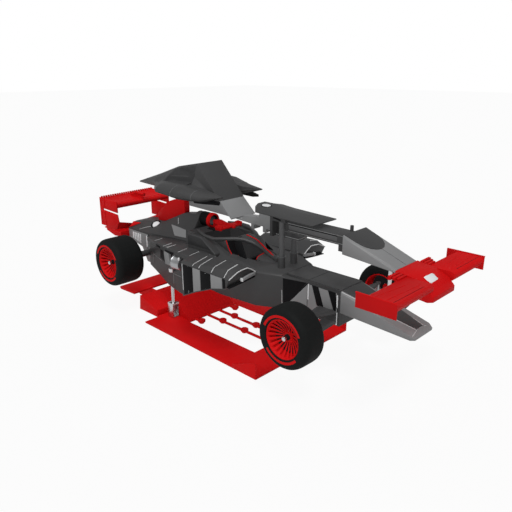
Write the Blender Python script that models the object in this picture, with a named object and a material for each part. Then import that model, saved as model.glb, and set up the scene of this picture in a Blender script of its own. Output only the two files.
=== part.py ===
# Open wheel racing car in three tiers: floor pan, rolling chassis, raised bodywork.
import math

import bmesh
import bpy
from mathutils import Matrix, Vector

# Driving dimensions in metres. +X is the car's left, the nose points to -Y, z = 0 is the ground.
GAP = 0.0003            # between touching pieces
WHEEL_LIFT = 0.42       # ground to the tyres' lowest point while the car stands on its legs
TYRE_RADIUS = 0.335
FRONT_AXLE_Y = -1.546
REAR_AXLE_Y = 1.726
FRONT_TRACK_OUTER = 1.05     # half width over the front tyres
REAR_TRACK_OUTER = 1.009
FRONT_TYRE_WIDTH = 0.305
REAR_TYRE_WIDTH = 0.405
RIM_RADIUS = 0.215
RIM_WALL = 0.010
SPOKES = 20
WHEEL_SIDES = 36
FLOOR_THICKNESS = 0.020
STRIP_INNER_X = 0.440
STRIP_OUTER_X = 0.870
FLOOR_FRONT_Y = -1.014
CAR_FRONT_Y = -2.695
CAR_REAR_Y = 2.695
DECK_TOP_Z = 1.070
DECK_THICKNESS = 0.020
DECK_HALF = 0.210
COCKPIT_HALF = 0.250
TUB_HALF = 0.426
TUB_BOTTOM_Z = 0.640
FOOTWELL_HALF = 0.200
POD_HALF = 0.875             # side pods at their widest
POD_FRONT_Y = -0.600
POD_STEP_Y = 0.240           # rear end of the pods' wide part
SIDE_BOTTOM_Z = 0.500
COWL_HALF = 0.300
COWL_BASE_Z = 0.960
COWL_FRONT_Y = 0.800
GEARBOX_HALF = COWL_HALF - 0.005
SPINDLE_RADIUS = 0.022
STAND_X = 0.478
STAND_Y = 0.964
INTAKE_Y = 0.630
INTAKE_Z = 1.385
REAR_WING_HALF = 0.465
POST_X = 0.113
POST_Y = -0.710
CARRIER_BASE_Z = 1.640
CARRIER_REAR_Y = -0.550
TOP_PLATE_Z = 1.710
NOSE_JOIN_Y = -1.640
NOSE_TIP_Y = -2.273
NOSE_HALF = 0.217
WING_TOP_Z = 1.441

AXLE_Z = WHEEL_LIFT + TYRE_RADIUS
KINGPIN_X = FRONT_TRACK_OUTER - FRONT_TYRE_WIDTH - 0.040
UPRIGHT_X = REAR_TRACK_OUTER - REAR_TYRE_WIDTH - 0.044

COLORS = {
    # name: (red, green, blue, roughness, metallic)
    "red": (0.60, 0.010, 0.012, 0.35, 0.0),
    "dark": (0.055, 0.055, 0.058, 0.45, 0.0),
    "grey": (0.22, 0.22, 0.225, 0.45, 0.0),
    "steel": (0.42, 0.43, 0.44, 0.35, 1.0),
    "rubber": (0.012, 0.012, 0.013, 0.85, 0.0),
    "black": (0.015, 0.015, 0.016, 0.55, 0.0),
    "white": (0.75, 0.76, 0.77, 0.35, 0.0),
}


def clear_scene():
    for item in list(bpy.data.objects):
        bpy.data.objects.remove(item, do_unlink=True)


def material(name):
    if name in bpy.data.materials:
        return bpy.data.materials[name]
    made = bpy.data.materials.new(name)
    made.use_nodes = True
    shader = made.node_tree.nodes["Principled BSDF"]
    red, green, blue, roughness, metallic = COLORS[name]
    shader.inputs["Base Color"].default_value = (red, green, blue, 1.0)
    shader.inputs["Roughness"].default_value = roughness
    shader.inputs["Metallic"].default_value = metallic
    return made


def add_object(name, bm, color, smooth=False):
    """Turn a bmesh into a named object of the car's collection."""
    bmesh.ops.recalc_face_normals(bm, faces=bm.faces)
    mesh = bpy.data.meshes.new(name)
    bm.to_mesh(mesh)
    bm.free()
    if smooth:
        mesh.shade_smooth()
        mesh.set_sharp_from_angle(angle=math.radians(35))
    made = bpy.data.objects.new(name, mesh)
    made.data.materials.append(material(color))
    car.objects.link(made)
    return made


def place(axis, first, second, along):
    """Point with `along` on the axis and the other two coordinates in X, Y, Z order."""
    if axis == "x":
        return Vector((along, first, second))
    if axis == "y":
        return Vector((first, along, second))
    return Vector((first, second, along))


def slab(name, outline, axis, low, high, color):
    """Prism of a flat outline between two places on an axis."""
    bm = bmesh.new()
    face = bm.faces.new([bm.verts.new(place(axis, a, b, low)) for a, b in outline])
    grown = bmesh.ops.extrude_face_region(bm, geom=[face])["geom"]
    shift = place(axis, 0.0, 0.0, high - low)
    bmesh.ops.translate(bm, vec=shift, verts=[v for v in grown if isinstance(v, bmesh.types.BMVert)])
    return add_object(name, bm, color)


def box(name, x, y, z, color):
    """Box from three (low, high) pairs."""
    bm = bmesh.new()
    size = [high - low for low, high in (x, y, z)]
    middle = [(high + low) / 2 for low, high in (x, y, z)]
    move = Matrix.Translation(middle) @ Matrix.Diagonal(size + [1.0])
    bmesh.ops.create_cube(bm, size=1.0, matrix=move)
    return add_object(name, bm, color)


def rod(name, start, end, radius, color, segments=12, end_radius=None):
    """Round bar or cone between two points."""
    start, end = Vector(start), Vector(end)
    bm = bmesh.new()
    turn = (end - start).to_track_quat("Z", "Y").to_matrix().to_4x4()
    move = Matrix.Translation((start + end) / 2) @ turn
    last = radius if end_radius is None else end_radius
    bmesh.ops.create_cone(bm, cap_ends=True, segments=segments, radius1=radius, radius2=last,
                          depth=(end - start).length, matrix=move)
    return add_object(name, bm, color, smooth=True)


def loft(name, rings, color, smooth=False):
    """Closed body through rings with the same number of points."""
    bm = bmesh.new()
    loops = [[bm.verts.new(point) for point in ring] for ring in rings]
    count = len(loops[0])
    for near, far in zip(loops, loops[1:]):
        for i in range(count):
            j = (i + 1) % count
            bm.faces.new((near[i], near[j], far[j], far[i]))
    bm.faces.new(loops[0])
    bm.faces.new(reversed(loops[-1]))
    return add_object(name, bm, color, smooth)


def mirrored_ring(y, pairs):
    """Ring across the car at y from (half width, z) pairs, listed from top to bottom."""
    right = [Vector((-x, y, z)) for x, z in reversed(pairs)]
    left = [Vector((x, y, z)) for x, z in pairs]
    return right + left


def pipe(name, points, radius, color, sides=2, cyclic=False):
    """Tube along a poly line, as a welded mesh."""
    curve = bpy.data.curves.new(name, "CURVE")
    curve.dimensions = "3D"
    curve.bevel_depth = radius
    curve.bevel_resolution = sides
    curve.use_fill_caps = not cyclic
    spline = curve.splines.new("POLY")
    spline.points.add(len(points) - 1)
    for knot, point in zip(spline.points, points):
        knot.co = (*point, 1.0)
    spline.use_cyclic_u = cyclic
    holder = bpy.data.objects.new(name + "_curve", curve)
    car.objects.link(holder)
    bpy.context.view_layer.update()
    graph = bpy.context.evaluated_depsgraph_get()
    mesh = bpy.data.meshes.new_from_object(holder.evaluated_get(graph))
    bpy.data.objects.remove(holder, do_unlink=True)
    bm = bmesh.new()
    bm.from_mesh(mesh)
    bpy.data.meshes.remove(mesh)
    bmesh.ops.remove_doubles(bm, verts=bm.verts, dist=0.00005)
    return add_object(name, bm, color, smooth=True)


def turned(name, profile, center, axis, color, segments):
    """Body of revolution: profile is a closed list of (along, radius) about the axis."""
    bm = bmesh.new()
    rings = []
    for i in range(segments):
        angle = 2 * math.pi * i / segments
        ring = []
        for along, radius in profile:
            a, b = radius * math.cos(angle), radius * math.sin(angle)
            ring.append(bm.verts.new(Vector(center) + place(axis, a, b, along)))
        rings.append(ring)
    count = len(profile)
    for i in range(segments):
        near, far = rings[i], rings[(i + 1) % segments]
        for k in range(count):
            m = (k + 1) % count
            bm.faces.new((near[k], near[m], far[m], far[k]))
    return add_object(name, bm, color, smooth=True)


def combine(base, tools, operation="UNION"):
    """Boolean of the base with each tool; the tools are used up."""
    for tool in tools:
        modifier = base.modifiers.new("combine", "BOOLEAN")
        modifier.operation = operation
        modifier.object = tool
        modifier.solver = "EXACT"
        bpy.context.view_layer.update()
        graph = bpy.context.evaluated_depsgraph_get()
        mesh = bpy.data.meshes.new_from_object(base.evaluated_get(graph))
        base.modifiers.clear()
        old = base.data
        base.data = mesh
        bpy.data.meshes.remove(old)
        bpy.data.objects.remove(tool, do_unlink=True)
    base.data.name = base.name
    return base


def set_pivot(item, point):
    """Put the object's origin on its joint without moving its faces."""
    item.data.transform(Matrix.Translation(-Vector(point)))
    item.location = point


# Floor tier: one red pan that carries the stand legs
def make_floor():
    front_inner, rear_inner, ramp_rear = -0.579, 0.680, 1.115
    mid_half, mid_rear = 0.630, 1.570
    right = [(STRIP_OUTER_X, FLOOR_FRONT_Y), (STRIP_OUTER_X - 0.013, ramp_rear),
             (mid_half, ramp_rear), (mid_half, mid_rear)]
    outline = right + [(-x, y) for x, y in reversed(right)]
    pan = slab("floor_pan", outline, "z", 0.0, FLOOR_THICKNESS, "red")
    hole = slab("hole", [(-STRIP_INNER_X, front_inner), (STRIP_INNER_X, front_inner),
                         (STRIP_INNER_X, rear_inner), (-STRIP_INNER_X, rear_inner)],
                "z", -0.05, 0.1, "red")
    combine(pan, [hole], "DIFFERENCE")
    extras = []
    fence_rear, fence_high, fence_thick = -0.630, 0.190, 0.012
    stay_x, stay_radius, boss_radius, boss_high = 0.110, 0.0095, 0.036, 0.040
    for side in (-1, 1):
        outer = side * STRIP_OUTER_X
        extras.append(slab("fence", [(FLOOR_FRONT_Y, 0.01), (fence_rear, 0.01),
                                     (fence_rear, 0.055), (FLOOR_FRONT_Y, 0.01 + fence_high)],
                           "x", outer - side * fence_thick, outer, "red"))
        extras.append(rod("stay", (side * stay_x, front_inner - 0.02, 0.01),
                          (side * stay_x, rear_inner + 0.02, 0.01), stay_radius, "red", 8))
        extras.append(rod("stub", (side * 0.319, 0.555, 0.01),
                          (side * 0.319, rear_inner + 0.02, 0.01), stay_radius, "red", 8))
        for x, y in ((stay_x, 0.352), (stay_x, -0.072), (0.319, 0.555)):
            extras.append(rod("boss", (side * x, y, 0.0), (side * x, y, boss_high),
                              boss_radius, "red", 10))
    return combine(pan, extras)


def make_ramps():
    top = FLOOR_THICKNESS + GAP
    ramp = slab("floor_ramp", [(0.697, top), (0.912, 0.221), (1.100, 0.290), (1.100, top)],
                "x", -0.420, 0.420, "red")
    wedge = slab("diffuser", [(1.139, top), (1.139, 0.105), (1.547, 0.216), (1.568, top)],
                 "x", -0.630, 0.630, "red")
    trailing = [(1.690, 0.190), (2.045, 0.176), (2.075, 0.200), (2.045, 0.224), (1.690, 0.214)]
    parts = [slab("tail", trailing, "x", -0.630, 0.630, "red")]
    for side in (-1, 1):
        x = side * 0.330
        parts.append(slab("fence", [(1.500, top), (2.020, top), (2.020, 0.195), (1.500, 0.195)],
                          "x", min(x, x - side * 0.02), max(x, x - side * 0.02), "red"))
    return ramp, combine(wedge, parts)


# Stand legs that hold the chassis above its floor
def make_stands():
    top = FLOOR_THICKNESS + GAP
    for side, label in ((-1, "right"), (1, "left")):
        x, y = side * STAND_X, STAND_Y
        foot = box("rear_stand_" + label, (x - 0.055, x + 0.055), (y - 0.055, y + 0.055),
                   (top, 0.240), "steel")
        pocket = box("pocket", (x - 0.042, x + 0.042), (y - 0.080, y + 0.040), (0.04, 0.215), "steel")
        column = rod("column", (x, y, 0.230), (x, y, SIDE_BOTTOM_Z - GAP), 0.022, "steel", 12)
        combine(foot, [pocket], "DIFFERENCE")
        combine(foot, [column])
    cross_y = -0.760
    stand = box("front_stand", (-0.17, 0.17), (cross_y - 0.03, cross_y + 0.03),
                (TUB_BOTTOM_Z - 0.03, TUB_BOTTOM_Z - GAP), "steel")
    parts = []
    for side in (-1, 1):
        x = side * 0.150
        parts.append(rod("leg", (x, cross_y, top), (x, cross_y, TUB_BOTTOM_Z - 0.01), 0.020,
                         "steel", 12))
        parts.append(rod("foot", (x, cross_y, top), (x, cross_y, top + 0.02), 0.055, "steel", 16))
    return combine(stand, parts)


# Chassis tub with the open cockpit and the driver's footwell
def tub_side(y):
    """Half width of the tub beside the cockpit and behind it."""
    # columns: y, how much narrower than the widest place
    waist = ((0.0, 0.0), (0.450, 0.036), (COWL_FRONT_Y, 0.076))
    for near, far in zip(waist, waist[1:]):
        if near[0] <= y <= far[0]:
            share = (y - near[0]) / (far[0] - near[0])
            return TUB_HALF - near[1] - share * (far[1] - near[1])
    return TUB_HALF


def make_tub():
    low_deck = DECK_TOP_Z - DECK_THICKNESS
    rear, middle = tub_side(COWL_FRONT_Y), tub_side(0.450)
    # columns: y, top half width, top z, shoulder half width, shoulder z, bottom half width, bottom z
    stations = (
        (COWL_FRONT_Y, rear - 0.060, 1.270, rear, 1.060, rear, 0.600),
        (0.450, middle - 0.080, 1.270, middle, 1.070, middle, 0.600),
        (0.000, TUB_HALF - 0.076, 1.120, TUB_HALF, 1.065, TUB_HALF, 0.610),
        (-0.581, TUB_HALF - 0.046, 1.080, TUB_HALF, 1.060, TUB_HALF - 0.006, TUB_BOTTOM_Z),
        (-0.861, 0.260, 1.072, 0.286, 1.045, 0.270, TUB_BOTTOM_Z),
        (-0.875, 0.255, low_deck, 0.280, 1.040, 0.266, TUB_BOTTOM_Z),
        (-1.180, FOOTWELL_HALF - 0.005, low_deck, FOOTWELL_HALF, 1.030, FOOTWELL_HALF, TUB_BOTTOM_Z),
        (NOSE_JOIN_Y + GAP, FOOTWELL_HALF - 0.005, low_deck, FOOTWELL_HALF, 1.030, FOOTWELL_HALF,
         TUB_BOTTOM_Z),
    )
    rings = [mirrored_ring(y, ((a, b), (c, d), (e, f))) for y, a, b, c, d, e, f in stations]
    tub = loft("monocoque", rings, "dark")
    rim = [(COCKPIT_HALF, 0.560), (COCKPIT_HALF, 0.000), (0.180, -0.360), (0.070, -0.480)]
    outline = rim + [(-x, y) for x, y in reversed(rim)]
    well = slab("well", outline, "z", 0.700, 1.500, "dark")
    return combine(tub, [well], "DIFFERENCE")


def make_deck():
    return box("chassis_deck", (-DECK_HALF, DECK_HALF), (NOSE_JOIN_Y + GAP, -0.8753),
               (DECK_TOP_Z - DECK_THICKNESS + GAP, DECK_TOP_Z), "dark")


def make_lower_nose():
    # columns: y, top half width, top z, side half width, side z, bottom half width, bottom z
    stations = (
        (NOSE_JOIN_Y, 0.195, 1.063, 0.204, 1.040, 0.204, 0.806),
        (-2.483, 0.070, 0.845, 0.203, 0.826, 0.190, 0.765),
        (-2.532, 0.060, 0.800, 0.180, 0.796, 0.170, 0.775),
    )
    rings = [mirrored_ring(y, ((a, b), (c, d), (e, f))) for y, a, b, c, d, e, f in stations]
    return loft("lower_nose", rings, "grey")


def make_halo():
    arm_radius, pillar_radius = 0.026, 0.030
    # columns: x, y, z of one arm from its rear foot to the pillar's head
    arm = ((0.270, 0.600, 1.270 + GAP), (0.270, 0.600, 1.310), (0.325, 0.500, 1.302),
           (0.350, 0.390, 1.286), (0.338, 0.241, 1.275), (0.258, 0.120, 1.285),
           (0.187, 0.009, 1.294), (0.120, -0.084, 1.290), (0.083, -0.197, 1.268),
           (0.050, -0.260, 1.230), (0.010, -0.325, 1.180))
    foot = (0.0, -0.530, DECK_TOP_Z + 0.0162)
    halo = pipe("halo", [foot, (0.0, -0.530, 1.105), (0.0, -0.435, 1.130), (0.0, -0.333, 1.176),
                         (0.0, -0.285, 1.204)], pillar_radius, "dark")
    arms = [pipe("arm", [(side * x, y, z) for x, y, z in arm], arm_radius, "dark")
            for side in (-1, 1)]
    return combine(halo, arms)


COWL_STATIONS = (
    # y, crest half, crest z, shoulder half, shoulder z, side half, side z
    (COWL_FRONT_Y + GAP, 0.080, 1.460, 0.150, 1.330, COWL_HALF, 1.120),
    (1.170, 0.060, 1.400, 0.140, 1.270, COWL_HALF, 1.100),
    (1.630, 0.060, 1.200, 0.180, 1.130, COWL_HALF, 1.060),
    (2.080, 0.100, 1.138, 0.196, 1.116, COWL_HALF, 1.035),
    (2.240, 0.140, 1.113, 0.206, 1.106, COWL_HALF - 0.010, 1.026),
)


def cowl_crest(y):
    """Height of the cowl's crest between its stations."""
    for near, far in zip(COWL_STATIONS, COWL_STATIONS[1:]):
        if y <= far[0]:
            share = (y - near[0]) / (far[0] - near[0])
            return near[2] + share * (far[2] - near[2])
    return COWL_STATIONS[-1][2]


def make_cowl():
    rings = [mirrored_ring(y, ((a, b), (c, d), (e, f), (e, COWL_BASE_Z)))
             for y, a, b, c, d, e, f in COWL_STATIONS]
    cowl = loft("engine_cowl", rings, "dark", smooth=True)
    snorkel = rod("snorkel", (0.0, INTAKE_Y + 0.030, INTAKE_Z), (0.0, 0.900, INTAKE_Z), 0.090, "dark", 20)
    mouth = rod("mouth", (0.0, INTAKE_Y - 0.070, INTAKE_Z), (0.0, 0.860, INTAKE_Z), 0.072, "dark", 20)
    combine(cowl, [snorkel])
    return combine(cowl, [mouth], "DIFFERENCE")


def make_intake_ring():
    y, z = INTAKE_Y, INTAKE_Z
    profile = [(-0.030, 0.082), (-0.015, 0.102), (0.0295, 0.102), (0.0295, 0.074), (-0.015, 0.072)]
    ring = turned("intake_ring", profile, (0.0, y, z), "y", "red", 24)
    body = loft("camera", [
        [Vector((x, cy, cz)) for x, cz in ((-0.022, z - 0.115), (0.022, z - 0.115),
                                           (0.026, z - 0.080), (-0.026, z - 0.080))]
        for cy in (0.360, 0.640)], "red")
    wings = slab("wings", [(0.430, z - 0.100), (0.440, z - 0.088), (0.540, z - 0.094),
                           (0.540, z - 0.101)], "x", -0.170, 0.170, "red")
    return combine(ring, [body, wings])


def make_cowl_fin():
    # columns: y, half width, top z
    stations = ((1.170, 0.050, 1.595), (1.400, 0.050, 1.560), (1.560, 0.055, 1.500),
                (1.630, 0.055, 1.440), (1.810, 0.045, 1.290))
    rings = [mirrored_ring(y, ((half, top), (half * 0.9, cowl_crest(y) + GAP)))
             for y, half, top in stations]
    return loft("cowl_fin", rings, "red")


def make_cockpit():
    seat_half = 0.200
    # columns: y, z of the seat's side profile
    profile = ((-0.050, 0.7003), (0.520, 0.7003), (0.520, 1.120), (0.440, 1.120), (0.300, 0.800),
               (0.050, 0.740), (-0.050, 0.770))
    seat = slab("seat", profile, "x", -seat_half, seat_half, "black")
    wheel_middle = Vector((0.0, -0.180, 1.010))
    axis = Vector((0.0, 0.940, 0.342))
    column = rod("steering_column", wheel_middle - axis * 0.230, wheel_middle - axis * 0.0165,
                 0.018, "steel", 12)
    bracket = box("bracket", (-0.1806, 0.1806), (-0.355, -0.325), (0.940, 0.970), "steel")
    combine(column, [bracket])
    grip = slab("steering_wheel", [(-0.150, -0.065), (-0.100, -0.080), (0.100, -0.080),
                                   (0.150, -0.065), (0.150, 0.060), (0.100, 0.075),
                                   (-0.100, 0.075), (-0.150, 0.060)], "z", -0.016, 0.016, "black")
    tilt = axis.to_track_quat("Z", "Y").to_matrix().to_4x4()
    grip.data.transform(tilt)
    grip.location = wheel_middle
    return seat, column, grip


def pod_body(name, stations, side):
    """Loft of rings listed as y and then (x, z) pairs; both ends may lean by their own y."""
    rings = []
    for ys, pairs in stations:
        rings.append([Vector((side * x, y, z)) for y, (x, z) in zip(ys, pairs)])
    return loft(name, rings, "dark")


def make_sidepods():
    # wide part, columns: y, outer bottom z, outer top z, crease x, crease z, crown x, crown z, inner z
    wide = ((POD_FRONT_Y, 0.985, 1.088, 0.728, 1.149, 0.580, 1.163, 1.082),
            (-0.520, 0.955, 1.097, 0.805, 1.174, 0.655, 1.205, 1.095),
            (-0.307, 0.900, 1.103, 0.825, 1.160, 0.637, 1.198, 1.092),
            (0.000, 0.773, 1.103, 0.851, 1.126, 0.602, 1.181, 1.085),
            (POD_STEP_Y, 0.657, 1.104, 0.855, 1.122, 0.590, 1.165, 1.100))
    front_lean = 0.045
    # rear part, columns: y, wall x, bottom z, lid x, lid z, inner z
    narrow = ((0.100, 0.560, 0.715, 0.600, 1.092, 1.110),
              (POD_STEP_Y, 0.600, 0.650, 0.640, 1.092, 1.122),
              (0.450, 0.600, 0.556, 0.638, 1.088, 1.118),
              (0.600, 0.600, SIDE_BOTTOM_Z, 0.636, 1.085, 1.115),
              (COWL_FRONT_Y, 0.560, SIDE_BOTTOM_Z, 0.616, 1.080, 1.105),
              (COWL_FRONT_Y + 0.012, 0.557, SIDE_BOTTOM_Z, 0.614, 1.080, 1.105),
              (1.000, 0.515, SIDE_BOTTOM_Z, 0.590, 1.075, 1.095),
              (1.300, COWL_HALF + 0.120, 0.530, COWL_HALF + 0.190, 1.060, 1.070),
              (1.640, COWL_HALF + 0.050, 0.600, COWL_HALF + 0.080, 1.030, 1.035))
    for side, label in ((-1, "right"), (1, "left")):
        rings = []
        for y, low, high, crease_x, crease_z, crown_x, crown_z, inner_z in wide:
            inner = tub_side(y) + GAP
            back = front_lean if y == POD_FRONT_Y else 0.0
            rings.append(((y + back, y + back, y, y, y, y),
                          ((inner, low + 0.035), (POD_HALF - 0.005, low), (POD_HALF, high),
                           (crease_x, crease_z), (crown_x, crown_z), (inner, inner_z))))
        pod = pod_body("sidepod_" + label, rings, side)
        rings = []
        for y, wall_x, low, lid_x, lid_z, inner_z in narrow:
            inner = (tub_side(y) if y <= COWL_FRONT_Y else COWL_HALF) + GAP
            rings.append(((y,) * 6, ((inner, low), (wall_x, low), (wall_x, lid_z - 0.095),
                                     (lid_x, lid_z - 0.060), (lid_x, lid_z), (inner, inner_z))))
        combine(pod, [pod_body("rear", rings, side)])


def make_power_unit():
    top = COWL_BASE_Z - GAP
    bell_y = 1.345
    box("engine", (-0.250, 0.250), (COWL_FRONT_Y + GAP, bell_y - GAP), (0.560, top), "steel")
    # columns: y, half width, top z, bottom z
    stations = ((bell_y, GEARBOX_HALF, top, 0.560), (1.790, GEARBOX_HALF, top, 0.600),
                (1.900, GEARBOX_HALF, top, 0.800), (2.240, GEARBOX_HALF - 0.015, top, 0.860))
    rings = [mirrored_ring(y, ((half, top), (half, low))) for y, half, top, low in stations]
    return loft("gearbox", rings, "grey")


# Suspension arms, knuckles and wheels
def make_front_corner(side, label):
    arm_end = KINGPIN_X - 0.021
    inboard, plate_thick, tip_thick = FOOTWELL_HALF + GAP, 0.014, 0.022
    upper_z, lower_z = 0.865, 0.610
    # columns: name, inboard front and rear y from the axle, inboard low and high z, outboard z
    arms = (("front_wishbones_" + label, -0.056, 0.210, 0.750, 0.822, upper_z),
            ("lower", -0.064, 0.130, 0.660, 0.692, lower_z))
    made = []
    for name, front, rear, low, high, outer_z in arms:
        chord = ((-1.0, 0.5), (-0.7, 0.0), (1.0, 0.3), (1.0, 0.6), (-0.7, 1.0))
        rings = []
        for x, fore, aft, base, thick in ((inboard + 0.010, front, rear, low, high - low),
                                          (arm_end, -0.028, 0.028, outer_z, tip_thick)):
            middle, half = (fore + aft) / 2, (aft - fore) / 2
            rings.append([Vector((side * x, FRONT_AXLE_Y + middle + half * u, base + thick * v))
                          for u, v in chord])
        arm = loft(name, rings, "dark")
        tip = rod("tip", (side * KINGPIN_X, FRONT_AXLE_Y, outer_z),
                  (side * KINGPIN_X, FRONT_AXLE_Y, outer_z + tip_thick), 0.030, "dark", 16)
        made.append(combine(arm, [tip]))
    plate = box("plate", tuple(sorted((side * inboard, side * (inboard + plate_thick)))),
                (FRONT_AXLE_Y - 0.055, FRONT_AXLE_Y + 0.180), (0.668, 0.810), "dark")
    combine(made[0], [plate, made[1]])
    low, high = lower_z + tip_thick + GAP, upper_z - GAP
    knuckle = rod("knuckle_front_" + label, (side * KINGPIN_X, FRONT_AXLE_Y, low),
                  (side * KINGPIN_X, FRONT_AXLE_Y, high), 0.022, "steel", 16)
    spindle = rod("spindle", (side * KINGPIN_X, FRONT_AXLE_Y, AXLE_Z),
                  (side * (FRONT_TRACK_OUTER - 0.090), FRONT_AXLE_Y, AXLE_Z), SPINDLE_RADIUS, "steel",
                  16)
    flange = rod("flange", (side * (KINGPIN_X + 0.01), FRONT_AXLE_Y, AXLE_Z),
                 (side * (KINGPIN_X + 0.032), FRONT_AXLE_Y, AXLE_Z), 0.060, "steel", 20)
    combine(knuckle, [spindle, flange])
    set_pivot(knuckle, (side * KINGPIN_X, FRONT_AXLE_Y, AXLE_Z))


def make_rear_corner(side, label):
    tube_radius, flange_radius = 0.045, 0.085
    axle = rod("rear_axle_" + label, (side * (GEARBOX_HALF + GAP), REAR_AXLE_Y, AXLE_Z),
               (side * UPRIGHT_X, REAR_AXLE_Y, AXLE_Z), tube_radius, "dark", 20)
    flange = rod("flange", (side * (UPRIGHT_X - 0.012), REAR_AXLE_Y, AXLE_Z),
                 (side * (UPRIGHT_X + 0.030), REAR_AXLE_Y, AXLE_Z), flange_radius, "dark", 24)
    stub = rod("stub", (side * UPRIGHT_X, REAR_AXLE_Y, AXLE_Z),
               (side * (REAR_TRACK_OUTER - 0.090), REAR_AXLE_Y, AXLE_Z), SPINDLE_RADIUS, "dark", 16)
    combine(axle, [flange, stub])


def make_wheel(label, side, axle_y, outer, width):
    """Tyre and spoked rim; the rim's bore runs on the stub axle."""
    center = (0.0, axle_y, AXLE_Z)
    bore = RIM_RADIUS + GAP
    flat = TYRE_RADIUS
    # columns: distance from the outer side face, radius
    carcass = ((0.010, bore), (0.000, bore + 0.020), (0.000, flat - 0.075), (0.012, flat - 0.030),
               (0.040, flat - 0.006), (0.070, flat))
    side_half = [(outer - d, r) for d, r in carcass]
    far_half = [(outer - width + d, r) for d, r in reversed(carcass)]
    profile = [(side * x, r) for x, r in side_half + far_half]
    tyre = turned("tyre_" + label, profile, center, "x", "rubber", WHEEL_SIDES)
    face = outer - 0.060
    hub_sides = 16
    bore_radius = (SPINDLE_RADIUS + GAP) / math.cos(math.pi / hub_sides)
    barrel = [(side * (outer - 0.004), RIM_RADIUS), (side * (outer - 0.004), RIM_RADIUS - RIM_WALL),
              (side * (outer - width + 0.004), RIM_RADIUS - RIM_WALL),
              (side * (outer - width + 0.004), RIM_RADIUS)]
    rim = turned("rim_" + label, barrel, center, "x", "red", WHEEL_SIDES)
    disc = turned("disc", [(side * (face + 0.012), 0.0365), (side * (face - 0.030), 0.0365),
                           (side * (face - 0.020), RIM_RADIUS - 0.004),
                           (side * face, RIM_RADIUS - 0.004)], center, "x", "red", WHEEL_SIDES)
    cutters = bmesh.new()
    for i in range(SPOKES):
        middle = 2 * math.pi * (i + 0.5) / SPOKES
        corners = []
        for radius, share in ((0.070, 0.20), (0.070, -0.20), (0.192, -0.33), (0.192, 0.33)):
            angle = middle + share * 2 * math.pi / SPOKES
            corners.append((axle_y + radius * math.cos(angle), AXLE_Z + radius * math.sin(angle)))
        bottom = [cutters.verts.new(Vector((side * (face - 0.08), y, z))) for y, z in corners]
        top = [cutters.verts.new(Vector((side * (face + 0.05), y, z))) for y, z in corners]
        cutters.faces.new(bottom)
        cutters.faces.new(list(reversed(top)))
        for k in range(4):
            m = (k + 1) % 4
            cutters.faces.new((bottom[k], bottom[m], top[m], top[k]))
    slots = add_object("slots", cutters, "red")
    combine(disc, [slots], "DIFFERENCE")
    hub = turned("hub", [(side * (face + 0.020), bore_radius), (side * (face - 0.100), bore_radius),
                         (side * (face - 0.100), 0.050), (side * (face + 0.020), 0.050)],
                 center, "x", "red", hub_sides)
    combine(rim, [disc, hub])
    for item in (tyre, rim):
        set_pivot(item, (side * (outer - width / 2), axle_y, AXLE_Z))


def make_rear_wing():
    span = REAR_WING_HALF
    lead_y, lead_z, lead_radius = 2.268, 1.392, 0.042
    nose = [(lead_y + lead_radius * math.cos(a), lead_z + lead_radius * math.sin(a))
            for a in (math.radians(d) for d in (110, 140, 170, 200, 230, 260))]
    main = nose + [(2.480, 1.385), (2.500, 1.395), (2.480, 1.412)]
    wing = slab("rear_wing", main, "x", -span, span, "red")
    deck = slab("deck", [(2.290, 1.421), (2.500, 1.402), (2.660, 1.447), (2.657, 1.456),
                         (2.500, 1.426), (2.290, 1.432)], "x", -span - 0.01, span + 0.01, "red")
    bracket = slab("bracket", [(2.230, 1.375), (2.290, 1.365), (2.560, 1.410), (2.560, 1.450),
                               (2.420, 1.500), (2.270, 1.500), (2.230, 1.440)],
                   "x", -0.012, 0.012, "red")
    pod = rod("pod", (0.0, 2.200, 1.500), (0.0, 2.430, 1.505), 0.026, "red", 12, 0.018)
    parts = [deck, bracket, pod]
    plate = [(2.225, 1.452), (CAR_REAR_Y, 1.460), (CAR_REAR_Y, 1.032), (2.270, 1.032),
             (2.195, 1.150), (2.225, 1.262), (2.610, 1.275), (2.610, 1.300), (2.220, 1.290)]
    for side in (-1, 1):
        parts.append(slab("endplate", plate, "x", min(side * span, side * (span + 0.014)),
                          max(side * span, side * (span + 0.014)), "red"))
    return combine(wing, parts)


def make_beam_wing():
    reach, front, middle, rear = REAR_WING_HALF - GAP, 2.246, 2.420, 2.640
    # columns: share of the reach, ridge z, z of the foot under it, z of the trailing edge
    blade = [[Vector((share * reach, y, z)) for y, z in (
        (front, ridge), (front + 0.014, foot), (middle, foot - 0.045),
        (rear - 0.020, tail - 0.012), (rear, tail), (middle, ridge - 0.060))]
        for share, ridge, foot, tail in ((-1, 1.148, 1.040, 1.000), (0, 1.030, 0.985, 0.950),
                                         (1, 1.148, 1.040, 1.000))]
    wing = loft("beam_wing", blade, "red")
    # columns: x, top z and bottom z of the lower element's leading edge
    lower = [[Vector((x, y, z)) for y, z in (
        (2.2403, top), (2.2403, low), (middle, low - 0.020), (rear, low + 0.030),
        (rear, low + 0.055), (middle + 0.030, top - 0.012))]
        for x, top, low in ((-0.430, 0.990, 0.915), (-0.280, 0.985, 0.868),
                            (0.280, 0.985, 0.868), (0.430, 0.990, 0.915))]
    return combine(wing, [loft("lower", lower, "red")])


# Raised tier: posts, carrier, plate, cover, nose and front wing
def plate_under(y):
    """Underside height of the top plate."""
    return TOP_PLATE_Z - 0.012 + 0.0245 * (y + 1.237)


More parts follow.
